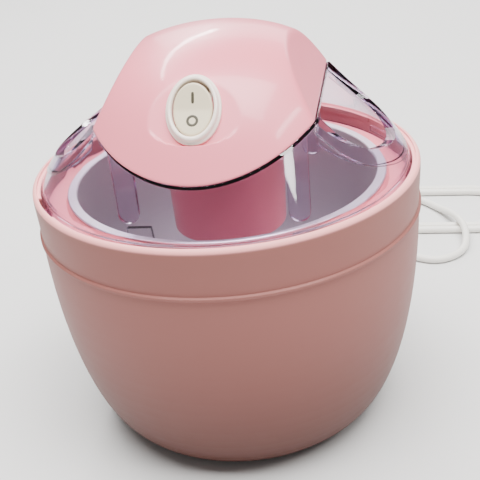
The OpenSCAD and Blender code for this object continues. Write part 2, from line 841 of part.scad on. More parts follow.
module second_gear() {
    color("lightyellow") translate([gear_b_at[0], gear_b_at[1], 0]) difference() {
        union() {
            gear_wheel(big_teeth, layer_b_z, face_w, angle_ab + 180 + 180 / big_teeth);
            gear_wheel(mid_teeth, layer_c_z, layer_b_z - layer_c_z + eps, angle_b + 180 + 180 / mid_teeth);
        }
        cylinder(r = pin_bore_r, h = far);
    }
}

module output_gear() {
    color("lightyellow") difference() {
        gear_wheel(output_teeth, layer_c_z, face_w, angle_b);
        cylinder(r = shaft_r, h = far);
    }
}

// Shaft with two flats at its lower end, which drive the paddle
module output_shaft() {
    color(steel) difference() {
        translate([0, 0, shaft_low_z]) cylinder(r = shaft_r, h = layer_c_z + face_w - shaft_low_z);
        for (s = [0, 180]) rotate([0, 0, s])
            translate([shaft_r - shaft_flat, -shaft_r, shaft_low_z - 1])
                cube([shaft_r, 2 * shaft_r, pod_z - shaft_low_z - 2]);
    }
}

module output_bush() {
    color("goldenrod") {
        ring(bush_bore_r, bush_r, pod_z - 1, cup_floor_z);
        ring(bush_bore_r, bush_flange_r, pod_z - 2, pod_z);
    }
}

// Flat outline of the whole paddle: a rounded frame with two windows on each side of the hub
module paddle_outline() {
    difference() {
        polygon(concat(
            [[-paddle_r, paddle_top_z]],
            arc([-paddle_r + paddle_round, paddle_low_z + paddle_round], paddle_round, 180, 270),
            arc([paddle_r - paddle_round, paddle_low_z + paddle_round], paddle_round, 270, 360),
            [[paddle_r, paddle_top_z], [blade_in_r, paddle_top_z],
                [blade_in_r - 3, paddle_mid_z + paddle_bar_h],
                [-blade_in_r + 3, paddle_mid_z + paddle_bar_h], [-blade_in_r, paddle_top_z]]
        ));
        for (s = [-1, 1]) {
            x0 = s * (hub_r + 2);
            x1 = s * (blade_in_r - 3);
            z0 = paddle_low_z + paddle_bar_h;
            polygon([[x0, z0], [x1, z0], [x1, paddle_mid_z], [x0, paddle_mid_z]]);
        }
    }
}

module paddle() {
    color(clear) difference() {
        union() {
            translate([0, blade_t / 2, 0]) rotate([90, 0, 0]) linear_extrude(blade_t) paddle_outline();
            translate([0, 0, paddle_low_z]) cylinder(r = hub_r, h = socket_top_z - paddle_low_z);
        }
        intersection() {
            translate([0, 0, shaft_low_z - 1]) cylinder(r = shaft_r + socket_gap, h = far);
            translate([-shaft_r + shaft_flat - socket_gap, -far / 2, 0])
                cube([2 * (shaft_r - shaft_flat + socket_gap), far, far]);
        }
    }
}

module live_wire() {
    color("saddlebrown") tube(smooth_path(live_route, 3), wire_r, 8);
}

module neutral_wire() {
    color("royalblue") tube(smooth_path(neutral_route, 3), wire_r, 8);
}

module switched_wire() {
    color("saddlebrown") tube(smooth_path(switched_route, 3), wire_r, 8);
}

module cord_gland() {
    color("white") translate([0, gland_in_y, gland_z]) rotate([-90, 0, 0]) {
        cylinder(r = gland_collar_r, h = gland_collar_t);
        cylinder(r = gland_r, h = gland_wall_y - gland_in_y);
        translate([0, 0, gland_wall_y - gland_in_y])
            cylinder(r1 = gland_r, r2 = gland_end_r, h = gland_y - gland_wall_y);
    }
}

module cord_lead() {
    color("white") tube(smooth_path(lead_route, 3), cord_d / 2);
}

module stadium(r) {
    for (c = [hank_a, hank_b]) translate([c[0], c[1], 0]) cylinder(r = r, h = hank_h);
    translate([hank_a[0], hank_a[1] - r, 0]) cube([hank_b[0] - hank_a[0], 2 * r, hank_h]);
}

// Outer shape of the bundled turns: a flat ring with two round ends
module cord_hank() {
    color("white") translate([0, 0, hank_z]) difference() {
        stadium(hank_out_r);
        translate([0, 0, -1]) scale([1, 1, 2]) stadium(hank_in_r);
    }
}

module cord_tail() {
    color("white") tube(smooth_path(tail_route, 3), cord_d / 2, first = [0, 0, 1]);
}

module in_plug_frame() {
    translate(plug_at) rotate([0, 0, plug_turn]) children();
}

module plug_body() {
    color("white") in_plug_frame() {
        rotate([0, 90, 0])
            cylinder(r1 = cord_d / 2 + 0.4, r2 = cord_d / 2 + 2.4, h = plug_relief_l + 1);
        translate([plug_relief_l, 0, -plug_h / 2]) linear_extrude(plug_h) polygon([
            [0, -plug_neck], [8, -plug_half + 2], [12, -plug_half], [plug_l, -plug_half],
            [plug_l, plug_half], [12, plug_half], [8, plug_half - 2], [0, plug_neck]
        ]);
    }
}

module plug_pins() {
    color(steel) in_plug_frame() for (s = [-1, 1])
        translate([plug_relief_l + plug_l, s * plug_pin_gap / 2, 0]) rotate([0, 90, 0])
            cylinder(r = plug_pin_r, h = plug_pin_l);
}

outer_casing();
rubber_feet();
bowl_shell();
bowl_liner();
coolant_gel();
bowl_seal();
fill_plug();
clear_lid();
motor_cover();
motor_pod();
cover_screws();
switch_body();
switch_rocker();
switch_terminals();
gearbox_cup();
motor_screws();
gear_pins();
gear_plate();
motor_can();
coil_bobbin();
coil_winding();
pole_cage();
rotor_magnet();
rotor_shaft();
rotor_pinion();
first_gear();
second_gear();
output_gear();
output_shaft();
output_bush();
paddle();
live_wire();
neutral_wire();
switched_wire();
cord_gland();
cord_lead();
cord_hank();
cord_tail();
plug_body();
plug_pins();
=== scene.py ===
"""Looks of a small electric ice cream maker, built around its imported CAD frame.

Lengths are written in millimetres and become metres when a mesh is made. The axes are the frame's own: +Z up
along the bowl's axis, the switch towards -Y, and the origin on the surface below the bowl.
"""

from __future__ import annotations

import logging
import math
from dataclasses import dataclass
from enum import Enum
from functools import cache
from typing import Sequence

import bmesh
import bpy
import numpy as np
from mathutils import Matrix, Vector


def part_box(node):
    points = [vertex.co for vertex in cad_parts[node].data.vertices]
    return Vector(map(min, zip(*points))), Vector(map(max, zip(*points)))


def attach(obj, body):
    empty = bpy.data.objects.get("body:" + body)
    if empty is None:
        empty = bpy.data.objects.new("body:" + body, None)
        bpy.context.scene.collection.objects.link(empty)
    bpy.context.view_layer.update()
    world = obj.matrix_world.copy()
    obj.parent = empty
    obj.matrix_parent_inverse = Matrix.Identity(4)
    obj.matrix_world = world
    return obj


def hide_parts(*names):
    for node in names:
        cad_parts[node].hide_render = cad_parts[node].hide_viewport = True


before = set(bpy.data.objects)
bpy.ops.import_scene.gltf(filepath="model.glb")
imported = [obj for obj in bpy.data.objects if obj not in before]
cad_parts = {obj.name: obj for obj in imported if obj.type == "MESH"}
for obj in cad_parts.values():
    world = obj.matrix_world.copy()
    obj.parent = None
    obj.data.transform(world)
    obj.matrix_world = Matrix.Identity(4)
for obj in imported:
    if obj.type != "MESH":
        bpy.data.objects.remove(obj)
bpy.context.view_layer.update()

LOG = logging.getLogger("ice_cream_maker")
MM = 0.001
WELD = 1e-6
CORNER_STEPS = 6
LARGEST_SHARE = 0.49
Colour = tuple[float, float, float]


class Body(Enum):
    """Bodies of the frame that new pieces ride on."""

    MOTOR_UNIT = "motor_unit"
    ROCKER = "rocker"


class Slot(Enum):
    """Material slots of the record that new pieces take their finish from."""

    COVER = "cover_pink"
    IVORY = "ivory"
    CORD = "cord_white"
    STEEL = "steel"


# ------------------------------------------------------------------------------------------------------------
# Meshes
# ------------------------------------------------------------------------------------------------------------


def turn(count: int) -> np.ndarray:
    """Angles of evenly spaced points round a circle."""
    return np.linspace(0, 2 * np.pi, count, endpoint=False)


def around(radius: np.ndarray | float, angle: np.ndarray) -> tuple[np.ndarray, np.ndarray]:
    """X = r cos a and Y = r sin a of points at a radius and an angle."""
    return radius * np.cos(angle), radius * np.sin(angle)


def xyz(x: np.ndarray, y: np.ndarray | float, z: np.ndarray | float) -> np.ndarray:
    """Points from three coordinates, each repeated to the shape they share."""
    return np.stack(np.broadcast_arrays(x, y, z), axis=-1)


def smoothstep(share: np.ndarray) -> np.ndarray:
    """Share s held between 0 and 1 and eased at both ends: s^2 (3 - 2 s)."""
    s = np.clip(share, 0, 1)
    return s * s * (3 - 2 * s)


def quarter_round(share: np.ndarray) -> np.ndarray:
    """Height of a quarter circle, the root of 1 - s^2, for a share s held between 0 and 1."""
    return np.sqrt(1 - np.clip(share, 0, 1) ** 2)


def quadratic(first: np.ndarray, corner: np.ndarray, last: np.ndarray, t: np.ndarray) -> np.ndarray:
    """Quadratic curve (1 - t)^2 first + 2 t (1 - t) corner + t^2 last."""
    return (1 - t) ** 2 * first + 2 * t * (1 - t) * corner + t**2 * last


@dataclass
class Skin:
    """Points and faces of one closed surface, in millimetres."""

    points: np.ndarray
    faces: np.ndarray

    def placed(self, matrix: Matrix) -> "Skin":
        """Return the skin carried by a matrix whose lengths are in millimetres."""
        m = np.array(matrix)
        return Skin(self.points @ m[:3, :3].T + m[:3, 3], self.faces)


def skin(grid: np.ndarray, wrap_rows: bool = False) -> Skin:
    """Join neighbouring points of a grid, and its last column to its first, by four-sided faces.

    Args:
        grid: Points as rows x columns x 3.
        wrap_rows: Whether the last row joins the first too.

    Returns:
        The skin over the grid.
    """
    rows, columns = grid.shape[:2]
    i, j = np.meshgrid(np.arange(rows - (not wrap_rows)), np.arange(columns), indexing="ij")
    low, high = i * columns, (i + 1) % rows * columns
    beside = (j + 1) % columns
    faces = np.stack([low + j, low + beside, high + beside, high + j], axis=-1)
    return Skin(grid.reshape(-1, 3), faces.reshape(-1, 4))


def make_object(name: str, skins: Sequence[Skin], sharp: float = 40.0) -> bpy.types.Object:
    """Make one mesh object from closed skins.

    Args:
        name: Name of the new piece.
        skins: Its closed surfaces, in millimetres.
        sharp: Angle in degrees above which an edge is shaded sharp.

    Returns:
        The new object, at the origin, with its poles welded and its faces pointing outwards.
    """
    starts = np.cumsum([0] + [len(s.points) for s in skins])
    points = np.concatenate([s.points for s in skins]) * MM
    faces = np.concatenate([s.faces + start for s, start in zip(skins, starts)])
    mesh = bpy.data.meshes.new(name)
    mesh.from_pydata(points.tolist(), [], faces.tolist())
    work = bmesh.new()
    work.from_mesh(mesh)
    bmesh.ops.remove_doubles(work, verts=work.verts, dist=WELD)
    bmesh.ops.recalc_face_normals(work, faces=work.faces)
    work.to_mesh(mesh)
    work.free()
    mesh.polygons.foreach_set("use_smooth", [True] * len(mesh.polygons))
    mesh.set_sharp_from_angle(angle=math.radians(sharp))
    return link(name, mesh)


def link(name: str, data: bpy.types.ID) -> bpy.types.Object:
    """Put data into the scene as an object at the origin."""
    thing = bpy.data.objects.new(name, data)
    bpy.context.scene.collection.objects.link(thing)
    return thing


def rounded(corners: Sequence[tuple[float, float, float]], closed: bool = False) -> np.ndarray:
    """Round the corners of a polyline.

    Each corner becomes a quadratic curve that leaves and meets its two sides at the corner's radius, or just
    short of a side's middle where the radius is too large for it.

    Args:
        corners: Corners as (first, second, radius).
        closed: Whether the last corner joins the first.

    Returns:
        The rounded line as an array of 2-D points.
    """
    c = np.array([p[:2] for p in corners], float)
    radius = np.array([p[2] for p in corners], float)
    if not closed:
        radius[[0, -1]] = 0

    def towards(neighbour: np.ndarray) -> np.ndarray:
        """Points at the corners' radii on the way to their neighbours."""
        side = neighbour - c
        length = np.linalg.norm(side, axis=1)
        return c + side * (np.minimum(radius, LARGEST_SHARE * length) / length)[:, None]

    before, after = (towards(np.roll(c, shift, axis=0))[:, None] for shift in (1, -1))
    curve = quadratic(before, c[:, None], after, np.linspace(0, 1, CORNER_STEPS + 1)[None, :, None])
    return np.concatenate([curve[k] if radius[k] > 0 else c[k : k + 1] for k in range(len(c))])


def lathe(profile: np.ndarray, columns: int) -> Skin:
    """Turn a profile from axis to axis round Z: a point (r, z) becomes (r cos a, r sin a, z).

    Args:
        profile: Points as (radius, height).
        columns: Number of steps round the axis.

    Returns:
        The turned skin.
    """
    x, y = around(profile[:, :1], turn(columns))
    return skin(xyz(x, y, profile[:, 1:]))


def rod(radius: float, half: float) -> Skin:
    """Rod along Z, as long as twice a half length, with its middle at the origin."""
    return lathe(np.array([(0, -half), (radius, -half), (radius, half), (0, half)]), 24)


def superellipse(half_x: Sequence[float], half_y: Sequence[float], power: Sequence[float],
                 columns: int) -> np.ndarray:
    """Outline x = half_x |cos a|^(2/p), y = half_y |sin a|^(2/p), each with the sign of its cosine or sine.

    Args:
        half_x: Half width of each outline.
        half_y: Half height of each outline.
        power: 2 for an ellipse, more for a squarer outline.
        columns: Points round each outline.

    Returns:
        Points as outlines x columns x 2.
    """
    p = 2 / np.array(power, float)[:, None]
    halves = (np.array(half, float)[:, None] for half in (half_x, half_y))
    waves = around(1.0, turn(columns)[None])
    return np.stack([half * np.sign(w) * np.abs(w) ** p for half, w in zip(halves, waves)], axis=-1)


def stacked_outlines(rows: Sequence[Sequence[float]], columns: int = 48) -> Skin:
    """Stack superelliptic outlines along Z into one skin, closed where the first and last have no size.

    Args:
        rows: Half width, half height, place along Z and squareness of each outline.
        columns: Points round each outline.

    Returns:
        The skin over the stacked outlines.
    """
    half_x, half_y, z, power = np.array(rows, float).T
    flat = superellipse(half_x, half_y, power, columns)
    return skin(xyz(flat[..., 0], flat[..., 1], z[:, None]))


def smooth_path(points: Sequence[Sequence[float]], steps: int) -> np.ndarray:
    """Pass a Catmull-Rom curve through points.

    Each stretch is the cubic through its two ends whose slope at a point is half the chord between that
    point's neighbours.

    Args:
        points: The points to pass through.
        steps: Number of new points for each stretch.

    Returns:
        The points of the curve.
    """
    p = np.array(points, float)
    a, b = np.concatenate([p[:1], p[:-2]]), p[:-1]
    c, d = p[1:], np.concatenate([p[2:], p[-1:]])
    t = np.arange(steps)[None, :, None] / steps
    a, b, c, d = (v[:, None] for v in (a, b, c, d))
    curve = 0.5 * (2 * b + (c - a) * t + (2 * a - 5 * b + 4 * c - d) * t**2 + (3 * b - a - 3 * c + d) * t**3)
    return np.concatenate([curve.reshape(-1, 3), p[-1:]])


def swept_tube(path: np.ndarray, radius: float, sides: int, aside: Sequence[float]) -> Skin:
    """Carry a circle along a path, square to it, and close both ends at a point.

    The circle's first direction is the cross product of the path's direction and a fixed vector that the path
    never runs along, and its second is square to both.

    Args:
        path: Points of the centre line.
        radius: Radius of the tube.
        sides: Points round the tube.
        aside: The fixed vector.

    Returns:
        The skin of the tube.
    """
    along = np.gradient(path, axis=0)
    along /= np.linalg.norm(along, axis=1)[:, None]
    first = np.cross(along, np.array(aside, float))
    first /= np.linalg.norm(first, axis=1)[:, None]
    second = np.cross(along, first)
    a = turn(sides)[None, :, None]
    rings = path[:, None] + radius * (np.cos(a) * first[:, None] + np.sin(a) * second[:, None])
    start, end = (np.broadcast_to(path[k], (1, sides, 3)) for k in (0, -1))
    return skin(np.concatenate([start, rings, end]))


def cut(piece: bpy.types.Object, cutter: Skin) -> None:
    """Cut a closed skin out of a piece and keep the result as its mesh."""
    tool = make_object("cutter", [cutter])
    step = piece.modifiers.new("cut", "BOOLEAN")
    step.operation, step.solver, step.object = "DIFFERENCE", "EXACT", tool
    graph = bpy.context.evaluated_depsgraph_get()
    result = bpy.data.meshes.new_from_object(piece.evaluated_get(graph))
    piece.modifiers.clear()
    piece.data = result
    bpy.data.objects.remove(tool)


def axes(x: Vector, y: Vector, z: Vector, origin: Vector) -> Matrix:
    """Matrix that carries a local frame to three square directions at an origin."""
    m = Matrix((x, y, z)).transposed().to_4x4()
    m.translation = origin
    return m


def turn_to(x_axis: Sequence[float], y_axis: Sequence[float], origin: Sequence[float]) -> Matrix:
    """Matrix that carries a local frame to the given X and Y directions at an origin."""
    x, y = Vector(x_axis).normalized(), Vector(y_axis).normalized()
    return axes(x, y, x.cross(y), Vector(origin))


def seat(piece: bpy.types.Object, body: Body, finish: "Finish",
         stands_for: Sequence[str] = ()) -> None:
    """Dress a piece, let it ride on its body and hide the CAD nodes that it stands for.

    Args:
        piece: The new piece.
        body: Body that carries it.
        finish: Finish that dresses it.
        stands_for: CAD nodes that it replaces.
    """
    finish.put_on(piece)
    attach(piece, body.value)
    if stands_for:
        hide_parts(*stands_for)
    LOG.info("%s rides on %s", piece.name, body.value)


# ------------------------------------------------------------------------------------------------------------
# Finishes
# ------------------------------------------------------------------------------------------------------------


def srgb(red: int, green: int, blue: int) -> Colour:
    """Linear colour of an 8-bit one: below 0.04045 divided by 12.92, above it ((c + 0.055) / 1.055) ^ 2.4."""
    c = np.array([red, green, blue]) / 255
    return tuple(np.where(c < 0.04045, c / 12.92, ((c + 0.055) / 1.055) ** 2.4))


def opaque(colour: Colour, share: float = 1.0) -> tuple[float, ...]:
    """Colour times a share, with full alpha."""
    return (*(share * c for c in colour), 1.0)


class Graph:
    """A node tree with short calls for adding and joining nodes."""

    def __init__(self, tree: bpy.types.NodeTree) -> None:
        """Keep the tree."""
        self.tree = tree

    def feed(self, inputs: bpy.types.NodeInputs, values: dict[str | int, object]) -> None:
        """Set input sockets, by name or index, to values, or join them to output sockets."""
        for key, value in values.items():
            if isinstance(value, bpy.types.NodeSocket):
                self.tree.links.new(value, inputs[key])
            else:
                inputs[key].default_value = value

    def add(self, kind: str, inputs: dict[str | int, object] | None = None,
            **settings: object) -> bpy.types.NodeOutputs:
        """Add a node.

        Args:
            kind: Node type without its ShaderNode prefix.
            inputs: Values or output sockets for its inputs, by name or index.
            settings: Attributes of the node itself.

        Returns:
            The output sockets of the new node.
        """
        node = self.tree.nodes.new("ShaderNode" + kind)
        for key, value in settings.items():
            setattr(node, key, value)
        self.feed(node.inputs, inputs or {})
        return node.outputs

    def math(self, operation: str, *values: object, clamp: bool = False) -> bpy.types.NodeSocket:
        """Result of a Math node over up to three values or sockets."""
        return self.add("Math", dict(enumerate(values)), operation=operation, use_clamp=clamp)[0]

    def mix(self, share: bpy.types.NodeSocket, first: object, second: object) -> bpy.types.NodeSocket:
        """Colour between two colours."""
        share_in, first_in, second_in, colour_out = 0, 6, 7, 2
        sockets = {share_in: share, first_in: first, second_in: second}
        return self.add("Mix", sockets, data_type="RGBA")[colour_out]

    def ramp(self, value: bpy.types.NodeSocket, low: float, high: float) -> bpy.types.NodeSocket:
        """Share that rises smoothly from 0 to 1 between two heights in millimetres."""
        sockets = {"Value": value, "From Min": low * MM, "From Max": high * MM}
        return self.add("MapRange", sockets, interpolation_type="SMOOTHSTEP")["Result"]


class Socket(Enum):
    """Kinds of group socket."""

    VALUE = "NodeSocketFloat"
    COLOUR = "NodeSocketColor"
    VECTOR = "NodeSocketVector"


def start_effect(name: str, inputs: dict[str, Socket],
                 outputs: dict[str, Socket]) -> tuple[Graph, bpy.types.NodeOutputs, bpy.types.NodeInputs]:
    """Start a node group with named sockets.

    Args:
        name: Name of the effect.
        inputs: Its inputs and their kinds.
        outputs: Its outputs and their kinds.

    Returns:
        The graph, the sockets that bring its inputs, and the sockets that take its outputs.
    """
    tree = bpy.data.node_groups.new(name, "ShaderNodeTree")
    for way, sockets in (("INPUT", inputs), ("OUTPUT", outputs)):
        for socket, kind in sockets.items():
            tree.interface.new_socket(socket, in_out=way, socket_type=kind.value)
    return Graph(tree), tree.nodes.new("NodeGroupInput").outputs, tree.nodes.new("NodeGroupOutput").inputs


@cache
def handled_surface() -> bpy.types.NodeTree:
    """Slow drifts of colour and gloss that moulding and handling leave on a part."""
    graph, given, out = start_effect(
        "handled_surface",
        {"Vector": Socket.VECTOR, "Base": Socket.COLOUR, "Drift": Socket.COLOUR, "Amount": Socket.VALUE,
         "Scale": Socket.VALUE, "Roughness": Socket.VALUE, "Gloss Drift": Socket.VALUE},
        {"Color": Socket.COLOUR, "Roughness": Socket.VALUE},
    )
    finer, middle = 7.0, 0.5
    slow = graph.add("TexNoise", {"Vector": given["Vector"], "Scale": given["Scale"], "Detail": 3.0})
    share = graph.math("MULTIPLY", slow["Fac"], given["Amount"])
    fine_scale = graph.math("MULTIPLY", given["Scale"], finer)
    smear = graph.add("TexNoise", {"Vector": given["Vector"], "Scale": fine_scale, "Detail": 4.0})
    centred = graph.math("SUBTRACT", smear["Fac"], middle)
    gloss = graph.math("MULTIPLY_ADD", centred, given["Gloss Drift"], given["Roughness"], clamp=True)
    graph.feed(out, {"Color": graph.mix(share, given["Base"], given["Drift"]), "Roughness": gloss})
    return graph.tree


@cache
def moulded_relief() -> bpy.types.NodeTree:
    """Fine relief of a moulded skin: broad sink marks and a small grain."""
    graph, given, out = start_effect(
        "moulded_relief",
        {"Vector": Socket.VECTOR, "Grain Scale": Socket.VALUE, "Grain": Socket.VALUE, "Wave": Socket.VALUE},
        {"Height": Socket.VALUE},
    )
    wave_scale = 28.0
    grain = graph.add("TexNoise", {"Vector": given["Vector"], "Scale": given["Grain Scale"], "Detail": 2.0})
    wave = graph.add("TexNoise", {"Vector": given["Vector"], "Scale": wave_scale, "Detail": 0.0})
    small = graph.math("MULTIPLY", grain["Fac"], given["Grain"])
    graph.feed(out, {"Height": graph.math("MULTIPLY_ADD", wave["Fac"], given["Wave"], small)})
    return graph.tree


@cache
def soft_edges() -> bpy.types.NodeTree:
    """Normal of a surface whose sharp edges are rounded to a small radius."""
    graph, given, out = start_effect("soft_edges", {"Radius": Socket.VALUE}, {"Normal": Socket.VECTOR})
    graph.feed(out, {"Normal": graph.add("Bevel", {"Radius": given["Radius"]}, samples=4)[0]})
    return graph.tree


@cache
def turned_lines() -> bpy.types.NodeTree:
    """Fine rings that a spun or turned metal part carries, from noise squeezed along the axis; the mask also
    places painted shade in the grooves.
    """
    graph, given, out = start_effect(
        "turned_lines",
        {"Vector": Socket.VECTOR, "Roughness": Socket.VALUE, "Drift": Socket.VALUE, "Depth": Socket.VALUE},
        {"Height": Socket.VALUE, "Roughness": Socket.VALUE, "Mask": Socket.VALUE},
    )
    across, along = 14.0, 1900.0
    squeeze = graph.add("Mapping", {"Vector": given["Vector"], "Scale": (across, across, along)})
    lines = graph.add("TexNoise", {"Vector": squeeze[0], "Scale": 1.0, "Detail": 3.0})["Fac"]
    gloss = graph.math("MULTIPLY_ADD", lines, given["Drift"], given["Roughness"], clamp=True)
    height = graph.math("MULTIPLY", lines, given["Depth"])
    graph.feed(out, {"Height": height, "Roughness": gloss, "Mask": lines})
    return graph.tree


@dataclass
class Canvas:
    """What a finish works on: a material's graph, its shader, its output and Object coordinates."""

    graph: Graph
    shader: bpy.types.Node
    out: bpy.types.Node
    place: bpy.types.NodeSocket

    def set(self, values: dict[str, object]) -> None:
        """Set or join sockets of the shader."""
        self.graph.feed(self.shader.inputs, values)

    def emboss(self, height: bpy.types.NodeSocket, depth: float, edge: float) -> None:
        """Round the sharp edges and raise a relief.

        Args:
            height: Height of the relief, as a share of its depth.
            depth: Depth of the relief, in millimetres.
            edge: Radius of the rounded edges, in millimetres.
        """
        normal = self.graph.add("Group", {"Radius": edge * MM}, node_tree=soft_edges())["Normal"]
        bump = {"Height": height, "Strength": 1.0, "Distance": depth * MM, "Normal": normal}
        self.set({"Normal": self.graph.add("Bump", bump)[0]})

    def plastic(self, finish: "Moulded | Clear", drift: Colour, amount: float) -> None:
        """Give a plastic its drifting colour and gloss, its relief and its softened edges.

        Args:
            finish: The plastic.
            drift: Colour that its own drifts towards.
            amount: Largest share of that colour.
        """
        surface = self.graph.add("Group", {
            "Vector": self.place, "Base": opaque(finish.colour), "Drift": opaque(drift), "Amount": amount,
            "Scale": finish.drift_scale, "Roughness": finish.roughness, "Gloss Drift": finish.gloss_drift,
        }, node_tree=handled_surface())
        relief = self.graph.add("Group", {
            "Vector": self.place, "Grain Scale": finish.grain_scale, "Grain": finish.grain,
            "Wave": finish.wave}, node_tree=moulded_relief())
        self.emboss(relief["Height"], finish.depth, finish.edge)
        self.set({"Base Color": surface["Color"], "Roughness": surface["Roughness"]})


@dataclass(frozen=True)
class Finish:
    """A named surface finish; its kinds below make the node tree."""

    name: str
    colour: Colour

    def material(self) -> bpy.types.Material:
        """Return the finish's material, made the first time it is asked for."""
        label = f"{self.name}_finish"
        made = bpy.data.materials.get(label)
        if made is None:
            made = bpy.data.materials.new(label)
            made.use_nodes = True
            nodes = made.node_tree.nodes
            nodes.clear()
            shader, out = nodes.new("ShaderNodeBsdfPrincipled"), nodes.new("ShaderNodeOutputMaterial")
            graph = Graph(made.node_tree)
            graph.feed(out.inputs, {"Surface": shader.outputs[0]})
            self.dress(Canvas(graph, shader, out, graph.add("TexCoord")["Object"]))
        return made

    def put_on(self, piece: bpy.types.Object) -> None:
        """Make this finish the only material of a piece."""
        piece.data.materials.clear()
        piece.data.materials.append(self.material())

    def dress(self, on: Canvas) -> None:
        """Fill in the shader's sockets."""
        raise NotImplementedError


@dataclass(frozen=True)
class Moulded(Finish):
    """Moulded plastic or rubber: colour drift, handled gloss, fine grain and softened edges."""

    drift: Colour
    roughness: float
    amount: float = 0.35
    gloss_drift: float = 0.08
    drift_scale: float = 18.0
    grain: float = 0.1
    grain_scale: float = 2600.0
    wave: float = 0.6
    depth: float = 0.05
    edge: float = 0.5
    coat: float = 0.0
    coat_roughness: float = 0.1
    specular: float = 0.5
    subsurface: float = 0.0
    subsurface_colour: Colour = (1.0, 0.6, 0.5)
    subsurface_depth: float = 0.8

    def dress(self, on: Canvas) -> None:
        """Colour and gloss drift with place; relief is a fraction of a tenth of a millimetre."""
        on.plastic(self, self.drift, self.amount)
        on.set({
            "Coat Weight": self.coat, "Coat Roughness": self.coat_roughness,
            "Specular IOR Level": self.specular, "Subsurface Weight": self.subsurface,
            "Subsurface Radius": self.subsurface_colour, "Subsurface Scale": self.subsurface_depth * MM,
        })


@dataclass(frozen=True)
class PaintedLightTub(Moulded):
    """Moulded plastic with painted shade towards its foot and a painted highlight along its lip."""

    # The foot colour is painted shade at the bottom; the lip colour is a painted highlight along the lip.
    foot: Colour = (0.0, 0.0, 0.0)
    lip: Colour = (1.0, 1.0, 1.0)
    # Height by which the painted shade has faded out, then the range of heights over which the painted
    # highlight comes in.
    painted_shade_rise: float = 110.0
    painted_highlight_from: float = 0.0
    painted_highlight_to: float = 1.0

    def dress(self, on: Canvas) -> None:
        """Mix the painted shade in below and the painted highlight in above, each over a smooth range of
        height.
        """
        super().dress(on)
        height = on.graph.add("SeparateXYZ", {0: on.place})["Z"]
        moulded = on.shader.inputs["Base Color"].links[0].from_socket
        # Painted shade: the foot colour below, fading into the moulded colour by the given height.
        with_painted_shade = on.graph.mix(on.graph.ramp(height, 0.0, self.painted_shade_rise), opaque(self.foot), moulded)
        # Painted highlight: the lip colour over the top of the lip.
        painted_highlight_share = on.graph.ramp(height, self.painted_highlight_from, self.painted_highlight_to)
        on.set({"Base Color": on.graph.mix(painted_highlight_share, with_painted_shade, opaque(self.lip))})


@dataclass(frozen=True)
class Clear(Finish):
    """Clear moulded plastic with a tint that deepens along thick edges."""

    absorb: Colour
    density: float
    roughness: float = 0.03
    gloss_drift: float = 0.03
    drift_scale: float = 20.0
    grain: float = 0.02
    grain_scale: float = 1500.0
    wave: float = 0.8
    depth: float = 0.05
    edge: float = 0.6
    ior: float = 1.45
    shadow: Colour = (0.93, 0.91, 0.94)

    def dress(self, on: Canvas) -> None:
        """Full transmission, drifting gloss, softened edges, a tinted shadow and an absorbing inside."""
        on.plastic(self, self.colour, 0.0)
        on.set({"Transmission Weight": 1.0, "IOR": self.ior})
        shadow_ray = on.graph.add("LightPath")["Is Shadow Ray"]
        through = on.graph.add("BsdfTransparent", {"Color": opaque(self.shadow)})[0]
        either = on.graph.add("MixShader", {0: shadow_ray, 1: on.shader.outputs[0], 2: through})[0]
        inside = on.graph.add("VolumeAbsorption", {"Color": opaque(self.absorb), "Density": self.density})[0]
        on.graph.feed(on.out.inputs, {"Surface": either, "Volume": inside})


@dataclass(frozen=True)
class Metal(Finish):
    """Spun, turned or drawn metal with fine rings round its axis."""

    roughness: float
    line_drift: float = 0.12
    line_depth: float = 0.5
    # Share of the colour kept in the grooves between rings, as painted shade.
    between: float = 0.86
    depth: float = 0.02
    edge: float = 0.3

    def dress(self, on: Canvas) -> None:
        """Rings set the roughness and a slight relief; between the rings the metal is darkened as painted
        shade in the grooves.
        """
        lines = on.graph.add("Group", {
            "Vector": on.place, "Roughness": self.roughness, "Drift": self.line_drift,
            "Depth": self.line_depth}, node_tree=turned_lines())
        # Painted shade: darker where the rings' mask is low.
        tone = on.graph.mix(lines["Mask"], opaque(self.colour, self.between), opaque(self.colour))
        on.emboss(lines["Height"], self.depth, self.edge)
        on.set({"Base Color": tone, "Roughness": lines["Roughness"], "Metallic": 1.0})


@dataclass(frozen=True)
class Wound(Finish):
    """Lacquered copper wire wound in close turns."""

    pitch: float = 0.3
    # Share of the colour kept in the valleys between turns, as painted shade.
    between: float = 0.35
    depth: float = 0.1
    roughness: float = 0.32

    def dress(self, on: Canvas) -> None:
        """Each turn is one band along the axis; the valleys between turns are darkened as painted shade."""
        bands_in_unit = 20
        bands = on.graph.add("TexWave", {
            "Vector": on.place, "Scale": 1.0 / (bands_in_unit * self.pitch * MM), "Distortion": 0.3,
            "Detail": 1.0}, wave_type="BANDS", bands_direction="Z", wave_profile="SIN")["Fac"]
        # Painted shade in the valleys between turns.
        tone = on.graph.mix(bands, opaque(self.colour, self.between), opaque(self.colour))
        bump = on.graph.add("Bump", {"Height": bands, "Strength": 1.0, "Distance": self.depth * MM})[0]
        on.set({"Base Color": tone, "Normal": bump, "Metallic": 1.0, "Roughness": self.roughness})


COVER_PINK = Moulded("cover_pink", srgb(248, 136, 154), srgb(244, 126, 144), 0.36, coat=0.28,
                     coat_roughness=0.08, grain=0.06, wave=1.0)
CASING_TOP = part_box("outer_casing")[1][2] / MM
